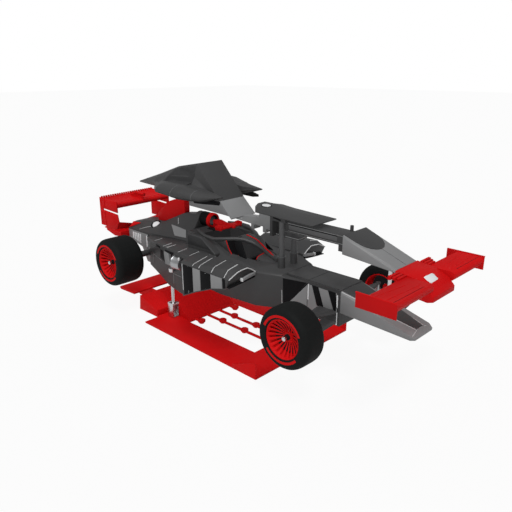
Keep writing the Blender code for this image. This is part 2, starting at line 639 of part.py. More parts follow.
def make_posts():
    base, collar, head = 1.0785, 1.215, CARRIER_BASE_Z - GAP
    for side, label in ((-1, "right"), (1, "left")):
        x = side * POST_X
        sleeve = rod("lift_post_" + label, (x, POST_Y, base), (x, POST_Y, collar), 0.043, "grey", 20)
        inner = rod("inner", (x, POST_Y, base + 0.02), (x, POST_Y, head), 0.026, "grey", 16)
        lip = rod("lip", (x, POST_Y, collar - 0.012), (x, POST_Y, collar), 0.050, "grey", 20)
        combine(sleeve, [inner, lip])


def make_carrier():
    rear, front, half = CARRIER_REAR_Y, -0.790, 0.150
    base, tray_z, beam_half = CARRIER_BASE_Z, 1.447, 0.120
    head = slab("carrier", [(rear, base), (rear, plate_under(rear) - GAP),
                            (front, plate_under(front) - GAP), (front, base)], "x", -half, half, "grey")
    back = box("back", (-half, half), (rear - 0.040, rear), (tray_z, base + 0.020), "grey")
    tray = box("tray", (-0.080, 0.080), (-0.931, rear - 0.01), (tray_z, tray_z + 0.012), "grey")
    beam = box("beam", (-beam_half, beam_half), (NOSE_JOIN_Y, front + 0.02), (1.538, base + 0.010), "grey")
    parts = [back, tray, beam]
    for side in (-1, 1):
        parts.append(box("hanger", tuple(sorted((side * (beam_half - 0.024), side * beam_half))),
                         (-1.580, -1.520), (1.468, 1.560), "grey"))
    parts.append(rod("peg", (0.095, -1.536, 1.630), (0.095, -1.536, 1.712), 0.020, "grey", 12))
    return combine(head, parts)


def make_top_plate():
    # columns: y, half width, edge z, crown half width, crown z
    stations = ((-1.237, 0.220, TOP_PLATE_Z, 0.060, TOP_PLATE_Z + 0.002),
                (-0.600, 0.235, TOP_PLATE_Z + 0.014, 0.080, TOP_PLATE_Z + 0.032),
                (-0.400, 0.245, TOP_PLATE_Z + 0.025, 0.090, TOP_PLATE_Z + 0.062),
                (-0.270, 0.110, TOP_PLATE_Z + 0.040, 0.060, TOP_PLATE_Z + 0.070))
    rings = [mirrored_ring(y, ((crown, high), (half, edge), (half, plate_under(y))))
             for y, half, edge, crown, high in stations]
    return loft("top_plate", rings, "dark")


COVER_STATIONS = (
    # y, crest half, crest z, shoulder half, shoulder z, flank half, flank z, hem z
    (0.254, 0.212, 1.742, 0.213, 1.735, 0.214, 1.728, 1.715),
    (0.674, 0.220, 2.168, 0.250, 2.000, 0.330, 1.860, 1.760),
    (1.200, 0.090, 2.060, 0.280, 1.960, 0.450, 1.800, 1.764),
    (1.700, 0.040, 1.890, 0.110, 1.850, 0.160, 1.790, 1.730),
    (2.276, 0.008, 1.706, 0.010, 1.700, 0.012, 1.695, 1.688),
)


def make_engine_cover():
    rings = [mirrored_ring(y, ((a, b), (c, d), (e, f), (e, g)))
             for y, a, b, c, d, e, f, g in COVER_STATIONS]
    cover = loft("engine_cover", rings, "dark")
    # columns: y, middle x, half width, middle z, height above, depth below
    flank = ((0.058, 0.350, 0.010, 1.838, 0.004, 0.004), (0.350, 0.370, 0.110, 1.790, 0.070, 0.045),
             (0.700, 0.420, 0.170, 1.800, 0.110, 0.055), (1.060, 0.420, 0.185, 1.815, 0.090, 0.040),
             (1.280, 0.330, 0.130, 1.800, 0.080, 0.035))
    for side in (-1, 1):
        rings = []
        for y, x, half, z, above, below in flank:
            rings.append([Vector((side * (x + half * u), y, z + (above if v > 0 else below) * v))
                          for u, v in ((-1.0, -1.0), (0.6, -1.0), (1.0, 0.0), (0.6, 0.7), (-0.2, 1.0),
                                       (-1.0, 0.9))])
        combine(cover, [loft("flank", rings, "dark")])
    return cover


def make_intake_plate():
    return slab("intake_plate", [(0.2537, 1.741), (0.2537, 1.725), (0.050, 1.541), (0.042, 1.553)],
                "x", -DECK_HALF, DECK_HALF, "grey")


def make_spine_wall():
    start = CARRIER_REAR_Y + GAP
    outline = [(1.050, 1.7626), (0.674, 1.7597), (0.254, 1.7147), (0.2425, 1.7143), (0.0506, 1.5407),
               (0.020, 1.530), (-0.020, 1.580), (-0.280, 1.600), (-0.300, plate_under(-0.300) - GAP),
               (start, plate_under(start) - GAP), (start, 1.480), (-0.400, 1.480), (-0.400, 1.430),
               (-0.350, 1.430), (-0.350, 1.500), (-0.200, 1.500), (-0.200, 1.440), (-0.150, 1.440),
               (-0.150, 1.500), (0.300, 1.520), (1.050, 1.530)]
    return slab("spine_wall", outline, "x", -0.060, 0.060, "grey")


def nose_top(y):
    rear_z, front_z = 1.689, 1.462
    return rear_z + (y - NOSE_JOIN_Y) * (rear_z - front_z) / (NOSE_JOIN_Y - NOSE_TIP_Y)


def make_upper_nose():
    rear, front, side_half = NOSE_JOIN_Y - GAP, NOSE_TIP_Y, NOSE_HALF + 0.002
    rings = [mirrored_ring(rear, ((0.212, nose_top(rear)), (side_half, 1.670), (side_half, 1.480))),
             mirrored_ring(front, ((0.185, nose_top(front)), (NOSE_HALF, 1.448), (NOSE_HALF, 1.435)))]
    loft("upper_nose", rings, "grey")
    outline = [(0.200, -1.645), (0.196, -1.760)]
    outline += [(0.190 * math.cos(a), -1.800 - 0.180 * math.sin(a))
                for a in (math.radians(d) for d in (10, 30, 50, 70, 90))]
    outline += [(-x, y) for x, y in reversed(outline[:-1])]
    low = [Vector((x, y, nose_top(y) + GAP)) for x, y in outline]
    high = [Vector((x, y, nose_top(y) + 0.007)) for x, y in outline]
    loft("nose_hatch", [low, high], "dark")


def make_nose_tip():
    half = NOSE_HALF
    # columns: y, top z, bottom z
    stations = ((NOSE_TIP_Y - GAP, 1.462, 1.330), (-2.480, 1.437, 1.240), (-2.630, 1.372, 1.225),
                (CAR_FRONT_Y, 1.300, 1.245))
    rings = [mirrored_ring(y, ((half, top), (half, low))) for y, top, low in stations]
    return loft("nose_tip", rings, "red")


def make_front_wing(side, label):
    root, tip = NOSE_HALF + GAP, 0.873
    lead_y, lead_z, lead_radius = -2.640, 1.383, 0.048
    arc = [(lead_y + lead_radius * math.cos(a), lead_z + lead_radius * math.sin(a))
           for a in (math.radians(d) for d in range(90, 271, 30))]
    profile = arc + [(-2.420, 1.398), (-2.385, 1.424), (-2.400, 1.431)]
    wing = slab("front_wing_" + label, profile, "x", *sorted((side * root, side * tip)), "red")
    plate = box("plate", tuple(sorted((side * tip, side * (tip + 0.012)))), (CAR_FRONT_Y, -2.275),
                (1.289, WING_TOP_Z), "red")
    lip = box("lip", tuple(sorted((side * tip, side * (tip + 0.020)))), (CAR_FRONT_Y, -2.275),
              (WING_TOP_Z - 0.010, WING_TOP_Z), "red")
    return combine(wing, [plate, lip])


def make_nose_pylon():
    return rod("nose_pylon", (0.0, -2.100, 0.9496), (0.0, -2.100, 1.4455), 0.020, "white", 16)


clear_scene()
car = bpy.data.collections.new("racing_car")
bpy.context.scene.collection.children.link(car)

make_floor()
make_ramps()
make_stands()
make_tub()
make_deck()
make_lower_nose()
make_halo()
make_cowl()
make_intake_ring()
make_cowl_fin()
make_cockpit()
make_sidepods()
make_power_unit()
for side, label in ((-1, "right"), (1, "left")):
    make_front_corner(side, label)
    make_rear_corner(side, label)
    make_wheel("front_" + label, side, FRONT_AXLE_Y, FRONT_TRACK_OUTER, FRONT_TYRE_WIDTH)
    make_wheel("rear_" + label, side, REAR_AXLE_Y, REAR_TRACK_OUTER, REAR_TYRE_WIDTH)
    make_front_wing(side, label)
make_rear_wing()
make_beam_wing()
make_posts()
make_carrier()
make_top_plate()
make_engine_cover()
make_intake_plate()
make_spine_wall()
make_upper_nose()
make_nose_tip()
make_nose_pylon()
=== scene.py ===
import math

import bpy
from mathutils import Matrix, Vector


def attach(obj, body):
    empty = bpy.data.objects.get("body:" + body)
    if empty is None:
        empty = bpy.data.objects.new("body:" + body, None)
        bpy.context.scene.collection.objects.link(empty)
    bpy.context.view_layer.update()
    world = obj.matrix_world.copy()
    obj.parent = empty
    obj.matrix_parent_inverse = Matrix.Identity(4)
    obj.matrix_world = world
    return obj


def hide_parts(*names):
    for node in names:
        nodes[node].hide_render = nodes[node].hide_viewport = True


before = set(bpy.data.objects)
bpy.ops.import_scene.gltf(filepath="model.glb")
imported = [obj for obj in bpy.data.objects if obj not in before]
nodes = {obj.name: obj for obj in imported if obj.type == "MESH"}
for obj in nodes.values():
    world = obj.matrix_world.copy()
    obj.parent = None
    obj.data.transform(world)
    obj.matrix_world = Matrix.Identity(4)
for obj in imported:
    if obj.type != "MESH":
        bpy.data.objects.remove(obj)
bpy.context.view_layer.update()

# camera and light
view = {"place": (-4.815, -4.849, 3.327), "turn": (71.385, 0.0, -45.865), "lens": 39.22}
light = {"sky": 0.26, "lamps": (
    # name, strength, turn, spread, casts a shadow
    ("softSun", 0.6, (20.0, -14.0, 0.0), 14.0, True),
    ("fillSun", 1.88, (10.0, -30.0, 0.0), 30.0, False),
)}


def makeView():
    lens = bpy.data.cameras.new("viewCamera")
    lens.sensor_width, lens.lens = 36.0, view["lens"]
    eye = bpy.data.objects.new("viewCamera", lens)
    eye.location = view["place"]
    eye.rotation_euler = [math.radians(a) for a in view["turn"]]
    scene = bpy.context.scene
    scene.collection.objects.link(eye)
    scene.camera = eye
    scene.view_settings.view_transform = "Standard"
    for name, strength, turn, spreadAngle, casts in light["lamps"]:
        sun = bpy.data.lights.new(name, "SUN")
        sun.energy, sun.angle, sun.use_shadow = strength, math.radians(spreadAngle), casts
        lamp = bpy.data.objects.new(name, sun)
        lamp.rotation_euler = [math.radians(a) for a in turn]
        scene.collection.objects.link(lamp)


makeView()
print("camera and sun placed")


# shader arithmetic: working on a Sock adds Math nodes
class Sock:
    def __init__(self, tree, port):
        self.tree, self.port = tree, port

    def math(self, kind, *values):
        made = self.tree.nodes.new("ShaderNodeMath")
        made.operation = kind
        for slot, value in zip(made.inputs, values):
            plug(self.tree, slot, value)
        return Sock(self.tree, made.outputs[0])

    def __add__(self, other):
        return self.math("ADD", self, other)

    def __sub__(self, other):
        return self.math("SUBTRACT", self, other)

    def __rsub__(self, other):
        return self.math("SUBTRACT", other, self)

    def __mul__(self, other):
        return self.math("MULTIPLY", self, other)

    def __gt__(self, other):
        return self.math("GREATER_THAN", self, other)

    def sine(self):
        return self.math("SINE", self)

    __radd__ = __add__
    __rmul__ = __mul__


def plug(tree, slot, value):
    if isinstance(value, Sock):
        tree.links.new(value.port, slot)
    elif isinstance(value, tuple) and slot.type == "RGBA":
        slot.default_value = (*value, 1.0)
    else:
        slot.default_value = value


class Finish:
    def __init__(self, name, **fixed):
        self.material = bpy.data.materials.new(name)
        self.material.use_nodes = True
        self.tree = self.material.node_tree
        self.shader = self.tree.nodes["Principled BSDF"]
        for socket, value in fixed.items():
            self.shader.inputs[socket.replace("_", " ")].default_value = value
        self.spot = self.node("ShaderNodeTexCoord", out="Object")

    def node(self, kind, settings=None, inputs=None, out=0):
        made = self.tree.nodes.new(kind)
        for field, value in (settings or {}).items():
            setattr(made, field, value)
        for socket, value in (inputs or {}).items():
            plug(self.tree, made.inputs[socket], value)
        return Sock(self.tree, made.outputs[out])

    def noise(self, scale, detail=3.0, rough=0.55, stretch=None):
        where = self.spot
        if stretch:
            where = self.node("ShaderNodeMapping", None, {"Vector": self.spot, "Scale": stretch})
        return self.node("ShaderNodeTexNoise", None,
                         {"Vector": where, "Scale": scale, "Detail": detail, "Roughness": rough})

    def mix(self, share, low, high):
        made = self.tree.nodes.new("ShaderNodeMix")
        made.data_type = "RGBA"
        for slot, value in ((0, share), (6, low), (7, high)):
            plug(self.tree, made.inputs[slot], value)
        return Sock(self.tree, made.outputs[2])

    def bump(self, height, distance, strength=0.5):
        return self.node("ShaderNodeBump", None,
                         {"Height": height, "Distance": distance, "Strength": strength})

    def feed(self, **values):
        for socket, value in values.items():
            plug(self.tree, self.shader.inputs[socket.replace("_", " ")], value)
        return self.material


# finishes
finishes = {
    "red": ((0.47, 0.004, 0.005), (0.62, 0.009, 0.01)),
    "dark": ((0.04, 0.04, 0.041), (0.062, 0.062, 0.063)),
    "grey": ((0.185, 0.187, 0.19), (0.245, 0.247, 0.25)),
    "rubber": ((0.005, 0.0055, 0.0055), (0.011, 0.012, 0.012)),
    "trim": ((0.008, 0.008, 0.009), (0.016, 0.016, 0.017)),
    "white": ((0.7, 0.71, 0.72), (0.8, 0.81, 0.82)),
}


def paintFinish(name, low, high, rough, coat, flake, gloss=0.22):
    # sprayed paint: soft clouding, fine flake, orange peel and a few dull rub marks
    paint = Finish(name, Coat_Roughness=0.14, Specular_IOR_Level=gloss)
    cloud = paint.noise(2.2, 2.0)
    fine = paint.noise(620.0, 2.0)
    peel = paint.noise(190.0, 2.0)
    rub = paint.noise(26.0, 6.0, 0.7, (1.0, 0.25, 1.0))
    color = paint.mix(cloud * 0.75 + fine * flake, low, high)
    marks = (rub > 0.66) * 0.1
    return paint.feed(Base_Color=color, Roughness=rough + cloud * 0.1 + marks,
                      Coat_Weight=coat * (1.0 - marks),
                      Normal=paint.bump(peel + rub * 0.4, 0.0009, 0.25))


def carbonFinish(name, low, high, gloss=0.16, lacquer=0.03):
    # satin carbon: a fine twill under a thin lacquer
    carbon = Finish(name, Coat_Roughness=0.24, Specular_IOR_Level=gloss)
    parts = carbon.tree.nodes.new("ShaderNodeSeparateXYZ")
    plug(carbon.tree, parts.inputs[0], carbon.spot)
    across, along, up = (Sock(carbon.tree, port) for port in parts.outputs)
    warp = ((across + along + up) * 1050.0).sine()
    weft = ((across - along + up) * 1050.0).sine()
    weave = warp * weft
    cloud = carbon.noise(1.7, 3.0)
    dust = carbon.noise(48.0, 5.0, 0.65)
    color = carbon.mix(cloud * 0.8 + weave * 0.14 + dust * 0.2 - 0.05, low, high)
    return carbon.feed(Base_Color=color, Roughness=0.42 + cloud * 0.1 + weave * 0.05 + dust * 0.06,
                       Coat_Weight=lacquer + dust * lacquer,
                       Normal=carbon.bump(weave * 0.6 + dust * 0.5, 0.0004, 0.25))


def metalFinish(name, tone, rough, streak):
    # machined metal with fine lines along its length and faint stains
    metal = Finish(name)
    lines = metal.noise(5.0, 5.0, 0.7, streak)
    stain = metal.noise(14.0, 4.0, 0.6)
    color = metal.mix(stain * 0.6 + lines * 0.3, tuple(c * 0.72 for c in tone), tone)
    return metal.feed(Base_Color=color, Metallic=1.0 - (stain > 0.72) * 0.2,
                      Roughness=rough + lines * 0.16 + stain * 0.06,
                      Normal=metal.bump(lines, 0.0005, 0.3))


def rubberFinish(name, low, high, scuff):
    # moulded rubber or plastic with a pebbled grain
    grain = Finish(name, Specular_IOR_Level=0.1)
    pebble = grain.node("ShaderNodeTexVoronoi", {"feature": "SMOOTH_F1"},
                        {"Vector": grain.spot, "Scale": 420.0, "Smoothness": 0.6})
    worn = grain.noise(9.0, 6.0, 0.65, scuff)
    color = grain.mix(worn * 0.9 + pebble * 0.12, low, high)
    return grain.feed(Base_Color=color, Roughness=0.62 + worn * 0.22,
                      Normal=grain.bump(pebble * 0.5 + worn, 0.0007, 0.35))


redPaint = paintFinish("redPaint", *finishes["red"], 0.46, 0.012, 0.3, 0.04)
darkPaint = carbonFinish("darkPaint", *finishes["dark"])
deepPaint = carbonFinish("deepPaint", (0.006, 0.006, 0.0065), (0.012, 0.012, 0.013), 0.03, 0.004)
shadePaint = carbonFinish("shadePaint", (0.02, 0.02, 0.021), (0.034, 0.034, 0.035))
greyPaint = paintFinish("greyPaint", *finishes["grey"], 0.42, 0.05, 0.35)
midPaint = paintFinish("midPaint", (0.075, 0.076, 0.078), (0.105, 0.106, 0.108), 0.42, 0.05, 0.35)
palePaint = paintFinish("palePaint", (0.5, 0.505, 0.51), (0.6, 0.605, 0.61), 0.4, 0.05, 0.3)
whitePaint = paintFinish("whitePaint", *finishes["white"], 0.34, 0.25, 0.2)
steelMetal = metalFinish("steelMetal", (0.52, 0.53, 0.54), 0.24, (9.0, 9.0, 60.0))
brightMetal = metalFinish("brightMetal", (0.8, 0.81, 0.82), 0.14, (40.0, 40.0, 9.0))
tyreRubber = rubberFinish("tyreRubber", *finishes["rubber"], (0.5, 3.0, 3.0))
blackTrim = rubberFinish("blackTrim", *finishes["trim"], (1.0, 1.0, 1.0))
print("finishes mixed")


# workshop: small steps used by every piece
tip = 0.0001  # radius that closes a turned section on its axis


def turns(count):
    return [math.tau * k / count for k in range(count)]


def between(rows, at):
    # the other columns, between the rows whose first column holds at
    for low, high in zip(rows, rows[1:]):
        if low[0] <= at <= high[0]:
            share = (at - low[0]) / (high[0] - low[0])
            return [a + (b - a) * share for a, b in zip(low, high)][1:]
    return rows[-1][1:]


def atX(x, outline):
    return [(x, y, z) for y, z in outline]


def setMode(mode):
    bpy.ops.object.mode_set(mode=mode)


def pickNothing():
    if bpy.context.mode != "OBJECT":
        setMode("OBJECT")
    bpy.ops.object.select_all(action="DESELECT")


def grab(piece):
    pickNothing()
    piece.select_set(True)
    bpy.context.view_layer.objects.active = piece


def editAll(piece):
    grab(piece)
    setMode("EDIT")
    bpy.ops.mesh.select_all(action="SELECT")


def tidyShell(piece, join=0.00005):
    editAll(piece)
    bpy.ops.mesh.remove_doubles(threshold=join)
    bpy.ops.mesh.normals_make_consistent(inside=False)
    setMode("OBJECT")
    return piece


def soften(piece, width, steps=2, angle=30.0):
    # round every sharp edge
    grab(piece)
    edge = piece.modifiers.new("edge", "BEVEL")
    edge.width, edge.segments, edge.limit_method = width, steps, "ANGLE"
    edge.angle_limit = math.radians(angle)
    edge.use_clamp_overlap = True
    bpy.ops.object.modifier_apply(modifier="edge")
    return piece


def finishPiece(piece, name, paint, body="car", smooth=32.0, stands=()):
    grab(piece)
    bpy.ops.object.transform_apply(location=True, rotation=True, scale=True)
    bpy.ops.object.shade_smooth_by_angle(angle=math.radians(smooth))
    piece.name = piece.data.name = name
    piece.data.materials.clear()
    piece.data.materials.append(paint)
    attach(piece, body)
    if stands:
        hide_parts(*stands)
    pickNothing()
    return piece


def joined(pieces):
    pickNothing()
    for piece in pieces:
        piece.select_set(True)
    bpy.context.view_layer.objects.active = pieces[0]
    bpy.ops.object.join()
    return bpy.context.view_layer.objects.active


def copied(piece, move):
    twin = piece.copy()
    twin.data = piece.data.copy()
    bpy.context.scene.collection.objects.link(twin)
    twin.data.transform(move)
    return twin


def mirrored(piece):
    return tidyShell(copied(piece, Matrix.Diagonal((-1.0, 1.0, 1.0, 1.0))))


def skin(rings):
    # a disc whose rim is pulled from ring to ring by extrusion
    pickNothing()
    bpy.ops.mesh.primitive_circle_add(vertices=len(rings[0]), radius=1.0, fill_type="NGON")
    piece = bpy.context.object
    spots = [Vector(p) for p in rings[0]]
    for point, spot in zip(piece.data.vertices, spots):
        point.co = spot
    for ring in rings[1:]:
        setMode("EDIT")
        bpy.ops.mesh.extrude_region_move()
        setMode("OBJECT")
        fresh = [v for v in piece.data.vertices if v.select]
        for point in fresh:
            near = min(range(len(spots)), key=lambda i: (point.co - spots[i]).length)
            point.co = Vector(ring[near])
        spots = [Vector(p) for p in ring]
    return tidyShell(piece, 0.000005)


def spread(axis, first, second, along):
    return {"x": (along, first, second), "y": (first, along, second),
            "z": (first, second, along)}[axis]


def plate(outline, axis, low, high, edge=0.0015, steps=2):
    rings = [[spread(axis, a, b, along) for a, b in outline] for along in (low, high)]
    return soften(skin(rings), edge, steps)


def block(x, y, z, edge=0.002):
    pickNothing()
    middle = [(pair[0] + pair[1]) / 2 for pair in (x, y, z)]
    bpy.ops.mesh.primitive_cube_add(size=1.0, location=middle)
    piece = bpy.context.object
    piece.scale = [abs(pair[1] - pair[0]) for pair in (x, y, z)]
    grab(piece)
    bpy.ops.object.transform_apply(location=True, rotation=True, scale=True)
    return soften(piece, edge)


def spun(profile, middle, axis, steps):
    # profile of (along, radius) turned about an axis through middle
    pickNothing()
    bpy.ops.mesh.primitive_circle_add(vertices=len(profile), radius=1.0, fill_type="NOTHING")
    piece = bpy.context.object
    for point, (along, radius) in zip(piece.data.vertices, profile):
        point.co = (radius, 0.0, along)
    editAll(piece)
    bpy.ops.mesh.spin(steps=steps, angle=math.tau, center=(0, 0, 0), axis=(0, 0, 1))
    tidyShell(piece)
    way = spread(axis, 0, 0, 1) if isinstance(axis, str) else axis
    turn = Vector(way).to_track_quat("Z", "Y").to_matrix().to_4x4()
    piece.data.transform(Matrix.Translation(middle) @ turn)
    return piece


def bar(start, end, stations, steps=20):
    # stations are (distance, radius): below 0 counts from the end, None is the end itself
    start, end = Vector(start), Vector(end)
    length = (end - start).length
    stops = [(length if d is None else d if d >= 0 else length + d, r) for d, r in stations]
    profile = [(stops[0][0], tip)] + stops + [(stops[-1][0], tip)]
    piece = spun(profile, start, end - start, steps)
    return tidyShell(piece, 0.0004)


def tube(points, radius, sides=4, smoothPath=True):
    curve = bpy.data.curves.new("tube", "CURVE")
    curve.dimensions, curve.bevel_depth, curve.bevel_resolution = "3D", radius, sides
    curve.use_fill_caps = True
    line = curve.splines.new("NURBS" if smoothPath else "POLY")
    line.points.add(len(points) - 1)
    for knot, point in zip(line.points, points):
        knot.co = (*point, 1.0)
    if smoothPath:
        line.use_endpoint_u, line.order_u, line.resolution_u = True, 3, 6
    piece = bpy.data.objects.new("tube", curve)
    bpy.context.scene.collection.objects.link(piece)
    grab(piece)
    bpy.ops.object.convert(target="MESH")
    return tidyShell(bpy.context.object)


def dress(node, paint, width, body="car"):
    # copy of a CAD node with its flat faces made whole and its edges rounded
    piece = bpy.data.objects.new(node, nodes[node].data.copy())
    bpy.context.scene.collection.objects.link(piece)
    editAll(piece)
    bpy.ops.mesh.customdata_custom_splitnormals_clear()
    bpy.ops.mesh.remove_doubles(threshold=0.0002)
    bpy.ops.mesh.dissolve_limited(angle_limit=math.radians(0.6))
    bpy.ops.mesh.normals_make_consistent(inside=False)
    setMode("OBJECT")
    if width:
        soften(piece, width, 2, 28.0)
    return finishPiece(piece, node + "Shell", paint, body, stands=(node,))


def landed(target, point, way):
    # where a straight line through the point meets the piece
    way = Vector(way).normalized()
    found, spot, normal, _ = target.ray_cast(Vector(point) - way * 0.5, way)
    return (spot, normal) if found else (Vector(point), -way)


def patch(target, way, outline, proud=0.002, sink=0.004, edge=0.0008):
    # flat plate with any outline, laid on a surface
    spots = [landed(target, point, way) for point in outline]
    push = sum((normal for spot, normal in spots), Vector()).normalized()
    rings = [[spot + push * rise for spot, normal in spots] for rise in (-sink, proud)]
    return soften(skin(rings), edge, 2, 40.0)


def quilt(target, way, corners, proud=0.003, thick=0.006, rows=8):
    # four cornered panel that follows a curved surface
    pickNothing()
    bpy.ops.mesh.primitive_grid_add(x_subdivisions=rows, y_subdivisions=rows, size=1.0)
    piece = bpy.context.object
    a, b, c, d = (Vector(corner) for corner in corners)
    for point in piece.data.vertices:
        u, v = point.co.x + 0.5, point.co.y + 0.5
        spot, normal = landed(target, a.lerp(b, u).lerp(d.lerp(c, u), v), way)
        point.co = spot + normal * proud
    outward = landed(target, (a + c) / 2, way)[1]
    if piece.data.polygons[0].normal.dot(outward) < 0:
        editAll(piece)
        bpy.ops.mesh.flip_normals()
        setMode("OBJECT")
    grab(piece)
    wall = piece.modifiers.new("wall", "SOLIDIFY")
    wall.thickness, wall.offset = thick, -1.0
    bpy.ops.object.modifier_apply(modifier="wall")
    return soften(piece, min(0.0012, proud * 0.5), 1, 40.0)


def strip(target, way, path, width=0.007, proud=0.0016, pieces=5):
    # narrow raised strip that follows a surface from point to point
    points = []
    for near, far in zip(path, path[1:]):
        points += [Vector(near).lerp(Vector(far), k / pieces) for k in range(pieces)]
    spots = [landed(target, point, way) for point in points + [Vector(path[-1])]]
    rings = []
    for i, (spot, normal) in enumerate(spots):
        run = spots[min(i + 1, len(spots) - 1)][0] - spots[max(i - 1, 0)][0]
        side = run.cross(normal).normalized() * width / 2
        foot, crown = normal * 0.002, normal * proud
        rings.append([spot - side - foot, spot - side * 0.8 + crown, spot + side * 0.8 + crown,
                      spot + side - foot])
    return skin(rings)


def disc(target, middle, facing, radius, proud):
    facing = Vector(facing).normalized()
    across = facing.cross(Vector((0, 1, 0))).normalized()
    along = facing.cross(across)
    outline = [Vector(middle) + across * radius * math.cos(a) + along * radius * math.sin(a)
               for a in turns(24)]
    return patch(target, -facing, outline, proud, 0.004, 0.0006)


def put(pieces, name, paint, body="car"):
    return finishPiece(joined(pieces), name, paint, body)


def pair(pieces, name, paint, smooth=32.0):
    # a piece on the right of the car and its twin on the left
    piece = joined(pieces)
    twin = mirrored(piece)
    finishPiece(piece, name + "Right", paint, smooth=smooth)
    finishPiece(twin, name + "Left", paint, smooth=smooth)


# straight at the right wall and down on a lid, where a point needs two numbers
inward, down = (1, 0, 0), (0, 0, -1)
wallX, lidZ = -1.2, 2.3


def onWall(node, outline, proud=0.002, edge=0.0008):
    return patch(shell[node], inward, atX(wallX, outline), proud, 0.004, edge)


def wallLine(node, path, width=0.007, proud=0.0016):
    return strip(shell[node], inward, atX(wallX, path), width, proud)


def wallQuilt(node, corners, proud=0.004):
    return quilt(shell[node], inward, atX(wallX, corners), proud)


def onLid(node, outline, proud):
    return patch(shell[node], down, [(x, y, lidZ) for x, y in outline], proud)


def lidLine(node, path, width=0.007, proud=0.0016, pieces=5):
    return strip(shell[node], down, [(x, y, lidZ) for x, y in path], width, proud, pieces)


def fin(spots, across, edge=0.001):
    # flat plate with any outline in space, thickened along the vector across
    across = Vector(across) / 2
    return soften(skin([[Vector(p) + move for p in spots] for move in (-across, across)]), edge)


# bodies that keep the CAD outline, with rounded edges
shells = (
    # finish, edge radius, nodes
    (redPaint, 0.002, "floor_pan"),
    (redPaint, 0.003, "floor_ramp", "diffuser"),
    (brightMetal, 0.002, "rear_stand_left", "rear_stand_right"),
    (steelMetal, 0.002, "front_stand"),
    (darkPaint, 0.004, "monocoque"),
    (darkPaint, 0.003, "chassis_deck"),
    (greyPaint, 0.005, "lower_nose"),
    (darkPaint, 0.0, "halo"),
    (darkPaint, 0.006, "engine_cowl"),
    (redPaint, 0.006, "cowl_fin"),
    (blackTrim, 0.006, "seat"),
    (steelMetal, 0.001, "steering_column"),
    (darkPaint, 0.003, "sidepod_left", "sidepod_right"),
    (steelMetal, 0.004, "engine"),
    (greyPaint, 0.004, "gearbox"),
    (redPaint, 0.0015, "rear_wing"),
    (redPaint, 0.002, "beam_wing"),
    (midPaint, 0.0015, "lift_post_left", "lift_post_right"),
    (darkPaint, 0.0015, "carrier"),
    (darkPaint, 0.002, "top_plate", "engine_cover"),
    (greyPaint, 0.001, "intake_plate"),
    (greyPaint, 0.0015, "spine_wall"),
    (greyPaint, 0.004, "upper_nose"),
    (darkPaint, 0.0015, "nose_hatch"),
    (redPaint, 0.006, "nose_tip"),
    (whitePaint, 0.001, "nose_pylon"),
    (darkPaint, 0.001, "front_wishbones_left", "front_wishbones_right", "rear_axle_left",
     "rear_axle_right"),
    (redPaint, 0.0015, "front_wing_left", "front_wing_right"),
)
shell = {}
for paint, width, *names in shells:
    for node in names:
        shell[node] = dress(node, paint, width)
for side in ("left", "right"):
    dress("knuckle_front_" + side, steelMetal, 0.001, body="knuckle_" + side)
print("body shells rounded")


# wheels: slick tyre with two painted arcs, spoked rim, centre nut
wheels = {
    # y of the axle, x of the outer face, width
    "front": (-1.546, 1.05, 0.305), "rear": (1.726, 1.009, 0.405),
    "axleZ": 0.755, "tyreRadius": 0.335, "rimRadius": 0.215, "turnSteps": 96, "spokes": 20,
    # columns: distance from the centre, depth behind the face, half width, thickness
    "blade": ((0.046, 0.104, 0.005, 0.01), (0.08, 0.094, 0.0072, 0.01),
              (0.13, 0.068, 0.011, 0.009), (0.172, 0.036, 0.0158, 0.009),
              (0.196, 0.014, 0.019, 0.01)),
    "bladeRing": ((1, -0.6), (1, 0.6), (0.2, 1), (0, 0.7), (-0.25, 0), (0, -0.7), (0.2, -1)),
    "bandLow": 0.234, "bandHigh": 0.262, "bandArcs": ((24.0, 158.0), (-142.0, -40.0)),
    # turned sections: depth behind the outer face, radius
    "hub": ((0.15, 0.0232), (0.15, 0.052), (0.118, 0.056), (0.104, 0.05), (0.1, 0.03),
            (0.1, 0.0232)),
    "drum": ((0.128, 0.058), (0.124, 0.12), (0.112, 0.176), (0.118, 0.184), (0.165, 0.184),
             (0.165, 0.058)),
    "stub": ((0.1, 0.0225), (0.1, 0.034), (0.086, 0.034), (0.084, 0.024), (0.052, 0.024),
             (0.052, 0.0225)),
    "nut": ((0.056, tip), (0.056, 0.03), (0.034, 0.028), (0.028, 0.02), (0.03, tip)),
}


def axlePart(name, side, axleY, outer, steps):
    return spun([(side * (outer - depth), radius) for depth, radius in wheels[name]],
                (0, axleY, wheels["axleZ"]), "x", steps)


def tyreShape(side, axleY, outer, width):
    wide, tall, rim = width / 2, wheels["tyreRadius"], wheels["rimRadius"] + 0.0006
    half = [(wide - 0.012, rim), (wide - 0.003, rim + 0.004), (wide + 0.001, rim + 0.014),
            (wide + 0.002, rim + 0.05), (wide + 0.0005, rim + 0.07), (wide - 0.006, rim + 0.086),
            (wide - 0.018, rim + 0.1), (wide - 0.034, rim + 0.111), (wide - 0.054, rim + 0.1168),
            (wide - 0.075, tall - 0.0006), (wide - 0.095, tall)]
    profile = half + [(-along, radius) for along, radius in reversed(half)]
    return spun(profile, (side * (outer - wide), axleY, wheels["axleZ"]), "x", wheels["turnSteps"])


